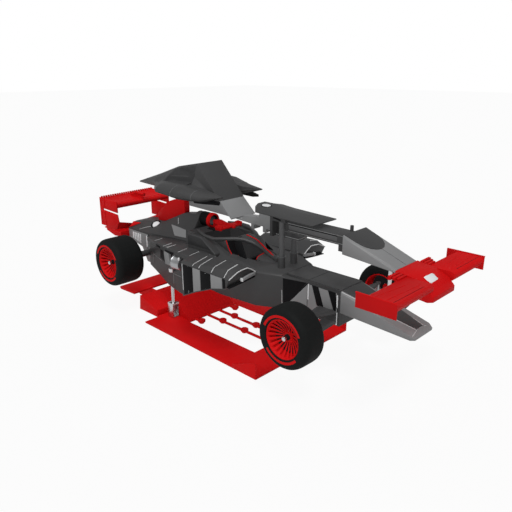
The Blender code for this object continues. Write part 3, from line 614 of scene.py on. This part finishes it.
def bandShape(side, axleY, outer):
    # two raised arcs on the outer sidewall
    arcs = []
    inner, proud = outer - 0.004, outer + 0.0032
    for first, last in wheels["bandArcs"]:
        count = int((last - first) / 4)
        outline = []
        for radius, way in ((wheels["bandHigh"], 1), (wheels["bandLow"], -1)):
            for k in range(count + 1)[::way]:
                angle = math.radians(first + (last - first) * k / count)
                outline.append((axleY - radius * math.cos(angle),
                                wheels["axleZ"] + radius * math.sin(angle)))
        arcs.append(plate(outline, "x", side * inner, side * proud, 0.0008, 1))
    return joined(arcs)


def rimShape(side, axleY, outer, width):
    face, inner, radius = outer - 0.01, outer - width, wheels["rimRadius"] - 0.0004
    lip = [(face - 0.004, radius), (face + 0.001, radius - 0.002), (face + 0.002, radius - 0.007),
           (face - 0.002, radius - 0.013), (face - 0.01, radius - 0.02),
           (face - 0.04, radius - 0.023), (face - 0.055, radius - 0.02),
           (inner + 0.01, radius - 0.014), (inner + 0.004, radius - 0.008), (inner + 0.004, radius)]
    parts = [spun([(side * a, r) for a, r in lip], (0, axleY, wheels["axleZ"]), "x",
                  wheels["turnSteps"]), axlePart("hub", side, axleY, outer, 40)]
    # one broad blade from the lip down to the sunken hub, then its copies
    spoke = skin([[(side * (outer - depth - thick * u), axleY + w * half, wheels["axleZ"] + reach)
                   for u, w in wheels["bladeRing"]] for reach, depth, half, thick in wheels["blade"]])
    soften(spoke, 0.001, 1, 40.0)
    shift = Matrix.Translation((0, axleY, wheels["axleZ"]))
    for angle in turns(wheels["spokes"]):
        parts.append(copied(spoke, shift @ Matrix.Rotation(angle, 4, "X") @ shift.inverted()))
    bpy.data.objects.remove(spoke, do_unlink=True)
    return joined(parts)


for end in ("front", "rear"):
    axleY, outer, width = wheels[end]
    for side, label in ((-1, "right"), (1, "left")):
        tag = end + "_" + label
        body = "wheel_" + tag
        finishPiece(tyreShape(side, axleY, outer, width), "tyreCarcass_" + tag, tyreRubber, body, 40.0,
                    ("tyre_" + tag,))
        finishPiece(bandShape(side, axleY, outer), "tyreBand_" + tag, redPaint, body)
        finishPiece(rimShape(side, axleY, outer, width), "rimSpoked_" + tag, redPaint, body, 40.0,
                    ("rim_" + tag,))
        finishPiece(axlePart("drum", side, axleY, outer, 64), "brakeDrum_" + tag, blackTrim, body)
        finishPiece(axlePart("stub", side, axleY, outer, 36), "stubCollar_" + tag, blackTrim, body)
        nut = soften(tidyShell(axlePart("nut", side, axleY, outer, 6), 0.0004), 0.0015, 2, 20.0)
        finishPiece(nut, "centreNut_" + tag, brightMetal, body)
print("wheels built")


# steering wheel: grips, blank display and buttons, all turning with it
control = {
    "middle": (0, -0.18, 1.01), "axis": (0, 0.94, 0.342), "face": 0.0165,
    "grip": ((0.138, -0.055, 0), (0.15, -0.02, 0.004), (0.15, 0.03, 0.004), (0.136, 0.056, 0)),
    "buttons": ((-0.075, 0.045), (-0.075, 0.015), (-0.075, -0.02), (-0.052, -0.055),
                (0.075, 0.045), (0.075, 0.015), (0.075, -0.02), (0.052, -0.055)),
    "button": ((0, 0.009), (-0.004, 0.009), (None, 0.006)),
}


def onControl(pieces, name, paint):
    turn = Vector(control["axis"]).to_track_quat("Z", "Y").to_matrix().to_4x4()
    for piece in pieces:
        piece.data.transform(Matrix.Translation(control["middle"]) @ turn)
    put(pieces, name, paint, "steering_wheel")


def makeControl():
    face = control["face"]
    dress("steering_wheel", blackTrim, 0.006, "steering_wheel")
    onControl([tube([(side * x, y, z) for x, y, z in control["grip"]], 0.0185, 5) for side in (-1, 1)],
              "controlGrips", midPaint)
    onControl([block((-0.04, 0.04), (0.005, 0.05), (face - 0.004, face + 0.003), 0.003)],
              "controlDisplay", deepPaint)
    onControl([bar((x, y, face - 0.004), (x, y, face + 0.007), control["button"], 14)
               for x, y in control["buttons"]], "controlButtons", redPaint)
    print("steering wheel built")


makeControl()


# side pods: lid ribs, wall panels, inlet and rear bay
pods = {
    # columns: y, outer x, crease x and inner x of each pale rib over the lid
    "ribs": ((-0.522, 0.872, 0.805, 0.655), (-0.307, 0.872, 0.825, 0.637),
             (-0.086, 0.872, 0.845, 0.607), (0.026, 0.872, 0.851, 0.596),
             (0.38, 0.63, 0.59, 0.47), (0.61, 0.63, 0.59, 0.48), (0.88, 0.595, 0.57, 0.45),
             (0.98, 0.59, 0.56, 0.44), (1.31, 0.485, 0.44, 0.36)),
    "sill": ((-0.6, 0.985), (-0.52, 0.955), (-0.307, 0.9), (0, 0.773), (0.24, 0.657)),
    "wallTop": 1.085,
    # columns: rear y, front y of the dark sheets painted as the shade inside the wall's openings, then
    # of the grey panels
    "dark": ((0.205, 0.03), (-0.118, -0.292), (-0.498, -0.542)),
    "grey": ((0.022, -0.11), (-0.3, -0.49)),
    "thinRibs": (-0.205, 0.117), "rearEdgeHighlight": ((0.22, 0.66), (0.22, 1.09)),
    # (x, z) in the inlet: its lip, the bar across it with a tick, the mouth under the bar
    "lip": ((-0.872, 1.09), (-0.8, 1.122), (-0.728, 1.151), (-0.65, 1.16), (-0.58, 1.163),
            (-0.51, 1.128), (-0.448, 1.084)),
    "splitter": ((-0.446, 1.08), (-0.66, 1.05), (-0.66, 1.018), (-0.446, 1.046)),
    "tick": ((-0.655, 1.056), (-0.666, 1.056), (-0.666, 1.016), (-0.655, 1.016)),
    "mouth": ((-0.446, 1.04), (-0.66, 1.012), (-0.862, 0.994), (-0.862, 0.984), (-0.66, 0.996),
              (-0.446, 1.016)),
    # (y, z) in the rear bay: dark sheets painted as the shade in its openings, lines, upright fin
    "bay": (((1.09, 1.045), (1.09, 0.8), (1.27, 0.81), (1.24, 1.035)),
            ((0.92, 1.045), (0.7, 1.055), (0.79, 0.95), (0.92, 0.86))),
    "bayLines": (((1.508, 0.822), (1.525, 0.66)), ((1.495, 0.792), (1.231, 0.771)),
                 ((0.604, 0.738), (0.826, 0.719), (0.831, 0.57))),
    "fin": ((0.977, 1.068), (0.888, 1.088), (0.84, 0.832), (0.949, 0.836), (0.97, 0.966)),
    # turned sections: distance along the axis, radius
    "canister": ((0, 0.07), (0.01, 0.088), (-0.03, 0.088), (-0.02, 0.094), (None, 0.09)),
    "knobHighlight": ((0, 0.01), (0.012, 0.014), (-0.008, 0.014), (None, 0.009)),
    "cup": ((0, tip), (0, 0.036), (0.048, 0.042), (0.05, 0.039), (0.05, 0.036), (0.012, 0.031),
            (0.01, tip)),
}


def sill(y):
    return between(pods["sill"], y)[0]


def wallPanel(rear, front, proud):
    top, rise = pods["wallTop"], 0.014
    return onWall("sidepod_right", ((rear, sill(rear) + rise), (front, sill(front) + rise),
                                    (front, top), (rear, top)), proud, 0.0015)


def makePods():
    node = "sidepod_right"
    pair([lidLine(node, ((-outer, y), (-crease, y), (-inner, y)), 0.0095, 0.0022, 3)
          for y, outer, crease, inner in pods["ribs"]], "podRibs", palePaint)
    # dark sheets on the wall between the grey panels: painted shade of the openings there
    pair([wallPanel(rear, front, 0.0015) for rear, front in pods["dark"]], "podOpeningShade", deepPaint)
    pair([wallPanel(rear, front, 0.005) for rear, front in pods["grey"]], "podGreyPanels", greyPaint)
    # pale strips on the wall: two thin ribs, and a wide strip painted as the highlight on the wall's
    # rear edge
    pair([wallLine(node, ((y, sill(y) + 0.02), (y, 1.08)), 0.004) for y in pods["thinRibs"]]
         + [wallLine(node, pods["rearEdgeHighlight"], 0.01)], "podWallRibsAndHighlight", palePaint)
    pair([tube([(x, -0.602, z) for x, z in pods["lip"]], 0.0065, 3, False)], "inletLip", palePaint)
    pair([plate(pods["splitter"], "y", -0.606, -0.56, 0.004)], "inletSplitter", greyPaint)
    pair([plate(pods["tick"], "y", -0.611, -0.57, 0.002)], "inletTick", whitePaint)
    pair([plate(pods["mouth"], "y", -0.597, -0.556, 0.001)], "inletMouth", deepPaint)
    # dark sheets in the rear bay: painted shade inside its openings
    pair([wallQuilt(node, corners) for corners in pods["bay"]], "podBayOpeningShade", deepPaint)
    pair([wallLine(node, path, 0.006) for path in pods["bayLines"]], "podWallLines", greyPaint)
    pair([fin(atX(-0.545, pods["fin"]), (0.09, 0, 0), 0.003)], "podFin", greyPaint)
    pair([bar((-0.6, 0.54, 0.925), (-0.6, 0.72, 0.925), pods["canister"], 32)],
         "podCanister", steelMetal)
    # white cap at the canister's top: a painted highlight
    pair([bar((-0.66, 0.56, 0.99), (-0.66, 0.56, 1.03), pods["knobHighlight"], 16)], "podKnobHighlight", whitePaint)
    cup = spun(pods["cup"], (-0.6, 0.8, 0.765), "z", 28)
    pair([tidyShell(cup, 0.0004)], "podCup", brightMetal)
    print("side pods trimmed")


makePods()


# engine cowl: round patch, seams, light flank, snorkel band, slatted side panel
cowl = {
    "discMiddle": (-0.145, 1.725, 1.142), "discFacing": (-0.52, -0.3, 0.8), "discDepth": 0.06,
    "discs": (("cowlDiscRim", 0.08, 0.008, deepPaint), ("cowlDisc", 0.056, 0.012, whitePaint)),
    # each seam: its path (x, y), its width
    "seams": ((((-0.2, 1.788), (-0.282, 1.96)), 0.007), (((-0.085, 1.272), (-0.145, 1.201)), 0.008)),
    "flank": ((-0.149, 1.353, 1.218), (-0.202, 0.965, 1.224), (-0.274, 0.881, 1.143),
              (-0.277, 1.123, 1.127)),
    "band": ((0, 0.089), (0, 0.096), (0.15, 0.096), (0.16, 0.089)),
    # outlines (y, z) of the side panel and its edge, then y and lower z of its slats
    "panel": ((2.205, 1.02), (1.728, 1.02), (1.765, 0.801), (2.205, 0.885)),
    "edge": ((1.738, 0.83), (1.76, 0.826), (1.76, 1.004), (1.738, 1.004)),
    "slats": ((2.09, 0.9), (2.045, 0.888), (2.0, 0.876), (1.955, 0.866), (1.91, 0.858)),
    "slatHalf": 0.012, "slatTop": 0.998,
}


def slat(y, low):
    half, top = cowl["slatHalf"], cowl["slatTop"]
    return plate([(y - half, low), (y + half, low + 0.005), (y + half, top), (y - half, top)], "x",
                 -0.314, -0.304, 0.002)


def makeCowl():
    node = "engine_cowl"
    middle, facing = Vector(cowl["discMiddle"]), Vector(cowl["discFacing"]).normalized()
    for name, radius, high, paint in cowl["discs"]:
        put([bar(middle - facing * cowl["discDepth"], middle + facing * high,
                 ((0, radius * 0.8), (-0.004, radius), (None, radius - 0.004)), 36)], name, paint)
    pair([lidLine(node, path, wide) for path, wide in cowl["seams"]], "cowlSeams", palePaint)
    pair([quilt(shell[node], (0.7, 0, -0.7), cowl["flank"])], "cowlLightFlank", greyPaint)
    put([spun(cowl["band"], (0, 0.665, 1.385), "y", 40)], "snorkelBand", deepPaint)
    pair([plate(cowl["panel"], "x", -0.309, -0.296, 0.002)], "sidePanel", greyPaint)
    pair([slat(y, low) for y, low in cowl["slats"]], "sidePanelSlats", whitePaint)
    pair([plate(cowl["edge"], "x", -0.316, -0.304, 0.002)], "sidePanelEdge", whitePaint)
    print("cowl trimmed")


makeCowl()


# cockpit: roof between the halo's arms, braces, side plates, hood, red trim, headrest box
cockpit = {
    # side profile (y, z) of the box beside the headrest, its inner and outer x, the painted shade on its
    # outer side
    "box": ((0.64, 1.085), (0.64, 1.3), (0.374, 1.292), (0.11, 1.128), (0.11, 1.085)),
    "boxX": (-0.285, -0.44),
    "boxShade": ((0.632, 1.15), (0.632, 1.285), (0.372, 1.278), (0.18, 1.16)),
    # columns: y, half width, z of the roof between the arms, then its unit section
    "roof": ((0.03, 0.2, 1.295), (0.009, 0.187, 1.296), (-0.084, 0.12, 1.294), (-0.197, 0.083, 1.269),
             (-0.26, 0.05, 1.232), (-0.315, 0.016, 1.192)),
    "lens": ((-1.0, 0), (-0.6, 0.01), (0, 0.014), (0.6, 0.01), (1.0, 0), (0.6, -0.012),
             (0, -0.016), (-0.6, -0.012)),
    # x, y, half width and half length of the oval inlet in the roof
    "inlet": (-0.11, -0.004, 0.028, 0.015),
    "crest": ((-0.015, 1.312), (-0.14, 1.303), (-0.25, 1.262), (-0.333, 1.211), (-0.435, 1.162),
              (-0.525, 1.112)),
    # columns: y, half width, z of the crown and of the foot of the hood, then its unit arch
    "hood": ((-0.545, 0.066, 1.086, 1.08), (-0.45, 0.115, 1.12, 1.082), (-0.345, 0.15, 1.142, 1.09),
             (-0.33, 0.152, 1.142, 1.091)),
    "arch": ((-1.0, 0), (-0.92, 0.45), (-0.62, 0.85), (0, 1.0), (0.62, 0.85), (0.92, 0.45), (1.0, 0)),
    "brace": ((-0.192, 0.021, 1.268), (-0.16, -0.07, 1.284), (-0.24, -0.253, 1.104),
              (-0.24, -0.161, 1.098), (-0.232, -0.1, 1.12)),
    # (y, z) of the side plate, its trim and the seat's piping
    "plate": ((0.45, 1.272), (0.3, 1.268), (0.08, 1.272), (0.056, 1.214), (0.019, 1.15),
              (-0.02, 1.108), (0.1, 1.13)),
    "plateTrim": ((0.084, 1.278), (0.06, 1.216), (0.022, 1.152), (-0.018, 1.112)),
    "piping": ((0.51, 1.124), (0.44, 1.126), (0.29, 0.806), (0.05, 0.746)),
}


def makeCockpit():
    roof = put([skin([[(half * u, y, z + v) for u, v in cockpit["lens"]]
                      for y, half, z in cockpit["roof"]])], "haloRoof", darkPaint)
    x, y, wide, deep = cockpit["inlet"]
    outline = [(x + wide * math.cos(a), y + deep * math.sin(a), 1.4) for a in turns(16)]
    pair([patch(roof, down, outline, 0.0015, 0.003, 0.0005)], "haloInlets", deepPaint)
    put([tube(atX(0, cockpit["crest"]), 0.0085, 3)], "haloStripe", redPaint)
    arch, rings = cockpit["arch"], []
    for y, half, crown, base in cockpit["hood"]:
        over = [(half * u, y, base + (crown - base) * v) for u, v in arch]
        under = [(half * u * 0.94, y, base - 0.004 + (crown - base - 0.006) * v)
                 for u, v in reversed(arch)]
        rings.append(over + under)
    put([skin(rings)], "cockpitHood", darkPaint)
    y, half, crown, base = cockpit["hood"][-1]
    put([tube([(half * u, y, base + (crown - base) * v + 0.002) for u, v in arch], 0.005, 3)],
        "hoodTrim", redPaint)
    pair([fin(cockpit["brace"], (0.014, 0, 0), 0.003)], "haloBrace", deepPaint)
    pair([fin(atX(-0.262, cockpit["plate"]), (0.016, 0, 0), 0.003)], "cockpitSidePlate", darkPaint)
    pair([tube(atX(-0.268, cockpit["plateTrim"]), 0.006, 3)], "sidePlateTrim", redPaint)
    pair([tube(atX(-0.196, cockpit["piping"]), 0.006, 3, False)], "seatPiping", redPaint)
    near, far = cockpit["boxX"]
    # the inner side of the box is lower, so its top slopes
    box = [[(x, y, z - (0.03 if x == near and z > 1.2 else 0)) for y, z in cockpit["box"]]
           for x in (far, near)]
    pair([soften(skin(box), 0.012, 3)], "headrestBox", darkPaint)
    # darker sheet on the box's outer side: painted shade
    pair([plate(cockpit["boxShade"], "x", far - 0.0025, far + 0.004)], "headrestBoxShade", shadePaint)
    print("cockpit built")


makeCockpit()


# intake: ring, camera on its stem with thick winglets, dark liner, pedestal
intake = {
    "middle": (0, 0.63, 1.385),
    # turned sections: distance along y, radius
    "ring": ((-0.0305, 0.082), (-0.026, 0.092), (-0.0155, 0.1015), (0.026, 0.1015), (0.0292, 0.098),
             (0.0292, 0.0745), (-0.0155, 0.0725)),
    "liner": ((0, 0.062), (-0.008, 0.068), (-0.018, 0.073), (0.02, 0.073), (0.02, 0.062)),
    # columns: y, half width, lowest z, height of the camera, then its unit section
    "camera": ((0.604, 0.026, 1.362, 0.04), (0.57, 0.034, 1.356, 0.052), (0.5, 0.052, 1.345, 0.078),
               (0.4, 0.044, 1.345, 0.062), (0.28, 0.036, 1.35, 0.046), (0.2, 0.016, 1.36, 0.022)),
    "section": ((-1.0, 0.2), (-0.7, 0.9), (0, 1.0), (0.7, 0.9), (1.0, 0.2), (0.8, 0), (-0.8, 0)),
    "stem": ((0.616, 1.298), (0.604, 1.366), (0.5, 1.366), (0.56, 1.288)),
    "winglet": ((-0.02, 0.4, 1.372), (-0.172, 0.372, 1.366), (-0.176, 0.262, 1.366),
                (-0.02, 0.23, 1.372)),
    "wingletEnd": ((0.386, 1.332), (0.392, 1.384), (0.33, 1.412), (0.25, 1.408), (0.262, 1.34)),
    "pedestal": ((-0.03, 0.56, 1.29), (-0.03, 0.66, 1.29), (-0.06, 0.7, 1.262),
                 (-0.06, 0.54, 1.262)),
}


def makeIntake():
    finishPiece(spun(intake["ring"], intake["middle"], "y", 56), "intakeRing", redPaint,
                stands=("intake_ring",))
    put([skin([[(half * u, y, low + high * v) for u, v in intake["section"]]
               for y, half, low, high in intake["camera"]])], "cameraFairing", redPaint)
    put([fin(atX(0, intake["stem"]), (0.03, 0, 0), 0.003)], "cameraStem", redPaint)
    pair([fin(intake["winglet"], (0, 0, 0.024), 0.007),
          fin(atX(-0.176, intake["wingletEnd"]), (0.012, 0, 0), 0.004)], "cameraWinglet", redPaint)
    put([spun(intake["liner"], intake["middle"], "y", 40)], "intakeLiner", deepPaint)
    pair([fin(intake["pedestal"], (0.02, 0, 0), 0.003)], "intakePedestal", deepPaint)
    print("intake built")


makeIntake()


# footwell: side panels and bands, deck seams
footwell = {
    # outlines (y, z) on the wall
    "panel": ((-1.19, 1.018), (-1.59, 1.018), (-1.59, 0.665), (-1.19, 0.665)),
    "wedge": ((-1.18, 1.01), (-0.955, 0.742), (-0.945, 0.665), (-1.18, 0.665)),
    "shade": ((-0.88, 1.03), (-1.172, 1.03), (-0.962, 0.756), (-0.88, 0.69)),
    "bands": (((-1.249, 1.022), (-1.338, 1.022), (-1.42, 0.8), (-1.325, 0.8)),
              ((-1.472, 1.022), (-1.575, 1.022), (-1.618, 0.8), (-1.56, 0.8))),
    # paths (y, z) on the wall, then (x, y) on the deck
    "slant": ((-1.183, 1.026), (-0.952, 0.75), (-0.935, 0.665)),
    "edges": (((-1.197, 1.022), (-1.197, 0.836)), ((-1.6, 1.0), (-1.6, 0.65))),
    "corner": ((-0.866, 0.88), (-0.866, 0.655)),
    "seams": (((-0.2, -1.196), (0.2, -1.196)), ((-0.203, -0.885), (-0.203, -1.63)),
              ((0.203, -0.885), (0.203, -1.63))),
}


def makeFootwell():
    node = "monocoque"
    pair([onWall(node, footwell["panel"])], "footwellPanel", greyPaint)
    pair([onWall(node, footwell["wedge"])], "footwellWedge", greyPaint)
    pair([wallQuilt(node, footwell["shade"], 0.0025)], "footwellShade", deepPaint)
    pair([wallLine(node, footwell["slant"], 0.014, 0.003)]
         + [onWall(node, outline, 0.006, 0.002) for outline in footwell["bands"]],
         "footwellBands", deepPaint)
    pair([wallLine(node, path, 0.016, 0.006) for path in footwell["edges"]], "footwellEdges", whitePaint)
    pair([wallLine(node, footwell["corner"], 0.006, 0.002)], "cornerLine", palePaint)
    put([lidLine("chassis_deck", path, 0.006, 0.001) for path in footwell["seams"]], "deckSeams",
        deepPaint)
    print("footwell trimmed")


makeFootwell()


# noses and front wing, all seen from above as (x, y)
noses = {
    "lowerTop": ((-0.19, -1.646), (0.19, -1.646), (0.067, -2.478), (-0.067, -2.478)),
    "patch": ((-0.088, -2.512), (0.064, -2.515), (0.072, -2.53), (0.052, -2.588), (0.04, -2.596),
              (-0.098, -2.601), (-0.108, -2.59), (-0.102, -2.524)),
    "crease": ((0, -1.968), (0, -2.262)),
    # each line: its path, width and height
    "edges": ((((-0.197, -1.65), (-0.074, -2.476)), 0.008, 0.003),
              (((-0.072, -2.486), (-0.18, -2.5)), 0.006, 0.002)),
    "creases": ((((-0.862, -2.455), (-0.42, -2.505)), 0.006, 0.0018),
                (((-0.862, -2.568), (-0.33, -2.6)), 0.005, 0.0015)),
    "slot": ((-0.862, -2.64), (-0.33, -2.644)),
    # tip ribs: how many, first x, step, front and rear y
    "ribs": 7, "ribX": -0.12, "ribStep": 0.04, "ribY": (-2.612, -2.655),
    # root flaps: how many, box of the first, shift of the next in x, y and z
    "flaps": 3, "flap": ((-0.4, -0.222), (-2.33, -2.3), (1.425, 1.462)),
    "flapStep": (0.02, -0.036, -0.007),
}


def rootFlap(k):
    inset, ahead, lower = (k * step for step in noses["flapStep"])
    (outer, inner), (front, rear), (low, high) = noses["flap"]
    return block((outer + inset, inner), (front + ahead, rear + ahead), (low, high + lower), 0.003)


def makeNoses():
    put([onLid("lower_nose", noses["lowerTop"], 0.003)], "lowerNoseTop", darkPaint)
    pair([lidLine("lower_nose", *line) for line in noses["edges"]], "lowerNoseEdge", palePaint)
    put([lidLine("upper_nose", noses["crease"], 0.005)], "noseCrease", midPaint)
    put([onLid("nose_tip", noses["patch"], 0.003)], "noseBarePatch", whitePaint)
    xs = [noses["ribX"] + k * noses["ribStep"] for k in range(noses["ribs"])]
    put([lidLine("nose_tip", [(x, y) for y in noses["ribY"]], 0.005) for x in xs], "noseRibs", redPaint)
    pair([rootFlap(k) for k in range(noses["flaps"])], "rootFlaps", redPaint)
    pair([lidLine("front_wing_right", *line) for line in noses["creases"]], "wingCreases", redPaint)
    pair([lidLine("front_wing_right", noses["slot"], 0.004, 0.0008)], "wingSlot", deepPaint)
    print("noses and front wing trimmed")


makeNoses()


# raised tier: carrier, posts, top plate
raised = {
    # (y, z) on the carrier's wall
    "slot": ((-0.6, 1.69), (-0.72, 1.672), (-0.72, 1.652), (-0.6, 1.668)),
    "slotLine": ((-0.82, 1.628), (-1.5, 1.628)),
    "web": ((-0.82, 1.622), (-1.5, 1.622), (-1.5, 1.572), (-0.82, 1.572)),
    "edges": (((-0.81, 1.64), (-1.61, 1.64)), ((-0.81, 1.552), (-1.61, 1.552))),
    "rim": ((-0.08, -0.59, 1.461), (-0.08, -0.931, 1.461), (0, -0.931, 1.461)),
    # post: its x and y, foot of collar and sleeve, inner and outer radius of the sleeve
    "post": (-0.113, -0.71), "collarZ": 1.212, "sleeveZ": 1.216, "sleeve": (0.0262, 0.036),
    "collar": ((0, 0.044), (0, 0.052), (0.007, 0.052), (0.007, 0.044)),
    # round patch on the plate: its middle, then radius and height of its two steps
    "discMiddle": (-0.05, -0.4, 1.775),
    "discs": (("plateDiscRim", 0.066, 0.0015, deepPaint), ("plateDisc", 0.052, 0.0035, whitePaint)),
}


def makeRaised():
    pair([onWall("carrier", raised["slot"]), wallLine("carrier", raised["slotLine"], 0.01, 0.002)],
         "carrierSlots", deepPaint)
    pair([onWall("carrier", raised["web"], 0.001)], "carrierWeb", midPaint)
    pair([wallLine("carrier", path, 0.006, 0.002) for path in raised["edges"]]
         + [tube(raised["rim"], 0.004, 3, False)], "carrierEdges", greyPaint)
    pair([spun(raised["collar"], (*raised["post"], raised["collarZ"]), "z", 36)], "postCollar", midPaint)
    # the sleeve ends half a millimetre under the top of the post
    top = max(point.co.z for point in shell["lift_post_right"].data.vertices)
    reach = top - (raised["sleeveZ"] + 0.0005)
    inner, outer = raised["sleeve"]
    pair([spun([(0, inner), (0, outer), (reach, outer), (reach, inner)],
               (*raised["post"], raised["sleeveZ"]), "z", 36)], "postSleeve", midPaint)
    for name, radius, proud, paint in raised["discs"]:
        put([disc(shell["top_plate"], raised["discMiddle"], (0, 0, 1), radius, proud)], name, paint)
    print("raised tier trimmed")


makeRaised()


# engine cover: round flanks with bands, slot, painted shade on the sides beside the crest
cover = {
    # columns: y, middle x, half width, z of the widest line, height above, depth below it
    "flank": ((0.058, 0.35, 0.01, 1.838, 0.004, 0.004), (0.35, 0.37, 0.11, 1.79, 0.07, 0.045),
              (0.7, 0.42, 0.17, 1.8, 0.11, 0.055), (1.06, 0.42, 0.185, 1.815, 0.09, 0.04),
              (1.28, 0.33, 0.13, 1.8, 0.08, 0.035)),
    "proud": 0.004, "points": 32, "steps": 6, "bands": (0.45, 0.76), "bandWidth": 0.01,
    "slot": ((-0.285, 0.16), (-0.35, 0.11), (-0.45, 0.34), (-0.48, 0.44), (-0.285, 0.44)),
    "shade": (((0.69, 2.14), (1.19, 2.035), (1.19, 1.9), (0.69, 1.9)),
              ((1.212, 2.03), (1.69, 1.88), (1.69, 1.8), (1.212, 1.88))),
}


def flankRing(y, proud):
    middle, half, z, above, below = between(cover["flank"], y)
    ring = []
    for a in turns(cover["points"]):
        up = above if math.sin(a) > 0 else below
        ring.append((-middle + (half + proud) * math.cos(a), y, z + (up + proud) * math.sin(a)))
    return ring


def flankBand(at):
    end, proud = at + cover["bandWidth"], cover["proud"]
    return skin([flankRing(y, proud + rise)
                 for y, rise in ((at, -0.002), (at, 0.0025), (end, 0.0025), (end, -0.002))])


def makeCover():
    rows, steps = cover["flank"], cover["steps"]
    ys = [low[0] + (high[0] - low[0]) * k / steps for low, high in zip(rows, rows[1:])
          for k in range(steps)] + [rows[-1][0]]
    pair([skin([flankRing(y, cover["proud"]) for y in ys])], "coverFlank", darkPaint, 50.0)
    pair([flankBand(at) for at in cover["bands"]], "coverBands", midPaint, 50.0)
    pair([fin([(x, y, 1.748) for x, y in cover["slot"]], (0, 0, 0.03), 0.004)], "coverSlot",
         deepPaint)
    # darker sheets on the cover's sides: painted shade
    pair([wallQuilt("engine_cover", corners, 0.0025) for corners in cover["shade"]], "coverShade",
         shadePaint)
    print("engine cover built")


makeCover()


# rear wing: toothed trailing edge, endplate frames, pointed fairing on the cowl
rearWing = {
    # teeth: how many, first x, step, half width, then their y and z
    "teeth": 24, "toothX": -0.455, "toothStep": 0.0396, "toothHalf": 0.01,
    "toothY": (2.644, 2.674), "toothZ": (1.448, 1.478),
    # frames: front and rear y, then low and high z of each
    "frameY": (2.56, 2.66), "frameZ": ((1.33, 1.44), (1.05, 1.26)),
    "fairing": ((-0.3, 2.203, 1.046), (-0.206, 2.225, 1.112), (-0.2, 2.04, 1.122)),
}


def makeRearWing():
    half = rearWing["toothHalf"]
    xs = [rearWing["toothX"] + k * rearWing["toothStep"] for k in range(rearWing["teeth"])]
    put([block((x - half, x + half), rearWing["toothY"], rearWing["toothZ"]) for x in xs],
        "wingTeeth", redPaint)
    front, rear = rearWing["frameY"]
    pair([tube(atX(-0.481, ((front, low), (rear, low), (rear, high), (front, high), (front, low))),
               0.006, 3, False) for low, high in rearWing["frameZ"]], "endplateFrames", redPaint)
    pair([fin(rearWing["fairing"], (-0.004, 0, 0.01))], "tailFairing", redPaint)
    print("rear wing trimmed")


makeRearWing()


# floor: sleeves on the stays, boss caps, lengthwise ribs on the ramps
floor = {
    # columns: x, front y, rear y of each stay
    "stays": ((-0.11, -0.574, 0.675), (-0.319, 0.56, 0.675)), "stayZ": 0.021, "stayRadius": 0.019,
    # bosses: x and y of each, foot and top, turned section
    "bosses": ((-0.11, 0.352), (-0.11, -0.072), (-0.319, 0.555)), "bossZ": (0.02, 0.056),
    "boss": ((0, 0.05), (0.004, 0.053), (-0.006, 0.053), (None, 0.044)),
    # columns: node, piece, step in x, ribs on each side, front and rear y
    "ribs": (("floor_ramp", "rampRibs", 0.058, 7, (0.72, 1.08)),
             ("diffuser", "diffuserRibs", 0.06, 10, (1.16, 1.53))),
}


def makeFloor():
    z, (low, high) = floor["stayZ"], floor["bossZ"]
    pair([tube([(x, front, z), (x, rear, z)], floor["stayRadius"], 4, False)
          for x, front, rear in floor["stays"]]
         + [bar((x, y, low), (x, y, high), floor["boss"], 20) for x, y in floor["bosses"]],
         "floorStays", redPaint)
    for node, name, step, count, ends in floor["ribs"]:
        put([lidLine(node, [(k * step, y) for y in ends], 0.005, 0.0025, 4)
             for k in range(-count, count + 1)], name, redPaint)
    print("floor trimmed")


makeFloor()


# ground and white surround
studio = {
    "size": 160.0, "z": -0.001, "tones": ((0.8, 0.8, 0.8), (0.84, 0.84, 0.84)),
    # share of plain white that the camera sees in the ground, and the sky's gloss
    "glow": 0.88, "glint": 0.15,
}


def makeStage():
    pickNothing()
    bpy.ops.mesh.primitive_plane_add(size=studio["size"], location=(0, 0, studio["z"]))
    ground = bpy.context.object
    ground.name = "studioFloor"
    pale = Finish("studioFloor")
    pale.feed(Base_Color=pale.mix(pale.noise(30.0, 3.0), *studio["tones"]), Roughness=0.9)
    glow = pale.node("ShaderNodeEmission", None, {"Color": (1.0, 1.0, 1.0), "Strength": 1.0})
    path = pale.tree.nodes.new("ShaderNodeLightPath")
    seen = Sock(pale.tree, path.outputs["Is Camera Ray"])
    blend = pale.tree.nodes.new("ShaderNodeMixShader")
    plug(pale.tree, blend.inputs[0], seen * studio["glow"])
    pale.tree.links.new(pale.shader.outputs[0], blend.inputs[1])
    plug(pale.tree, blend.inputs[2], glow)
    pale.tree.links.new(blend.outputs[0], pale.tree.nodes["Material Output"].inputs[0])
    ground.data.materials.append(pale.material)
    world = bpy.data.worlds.new("whiteRoom")
    bpy.context.scene.world = world
    world.use_nodes = True
    tree = world.node_tree
    sky = tree.nodes["Background"]
    path = tree.nodes.new("ShaderNodeLightPath")
    seen = Sock(tree, path.outputs["Is Camera Ray"])
    glint = Sock(tree, path.outputs["Is Glossy Ray"])
    sky.inputs["Color"].default_value = (1.0, 1.0, 1.0, 1.0)
    plug(tree, sky.inputs["Strength"],
         light["sky"] + seen * (1.0 - light["sky"]) + glint * studio["glint"])


makeStage()
print("scene complete")
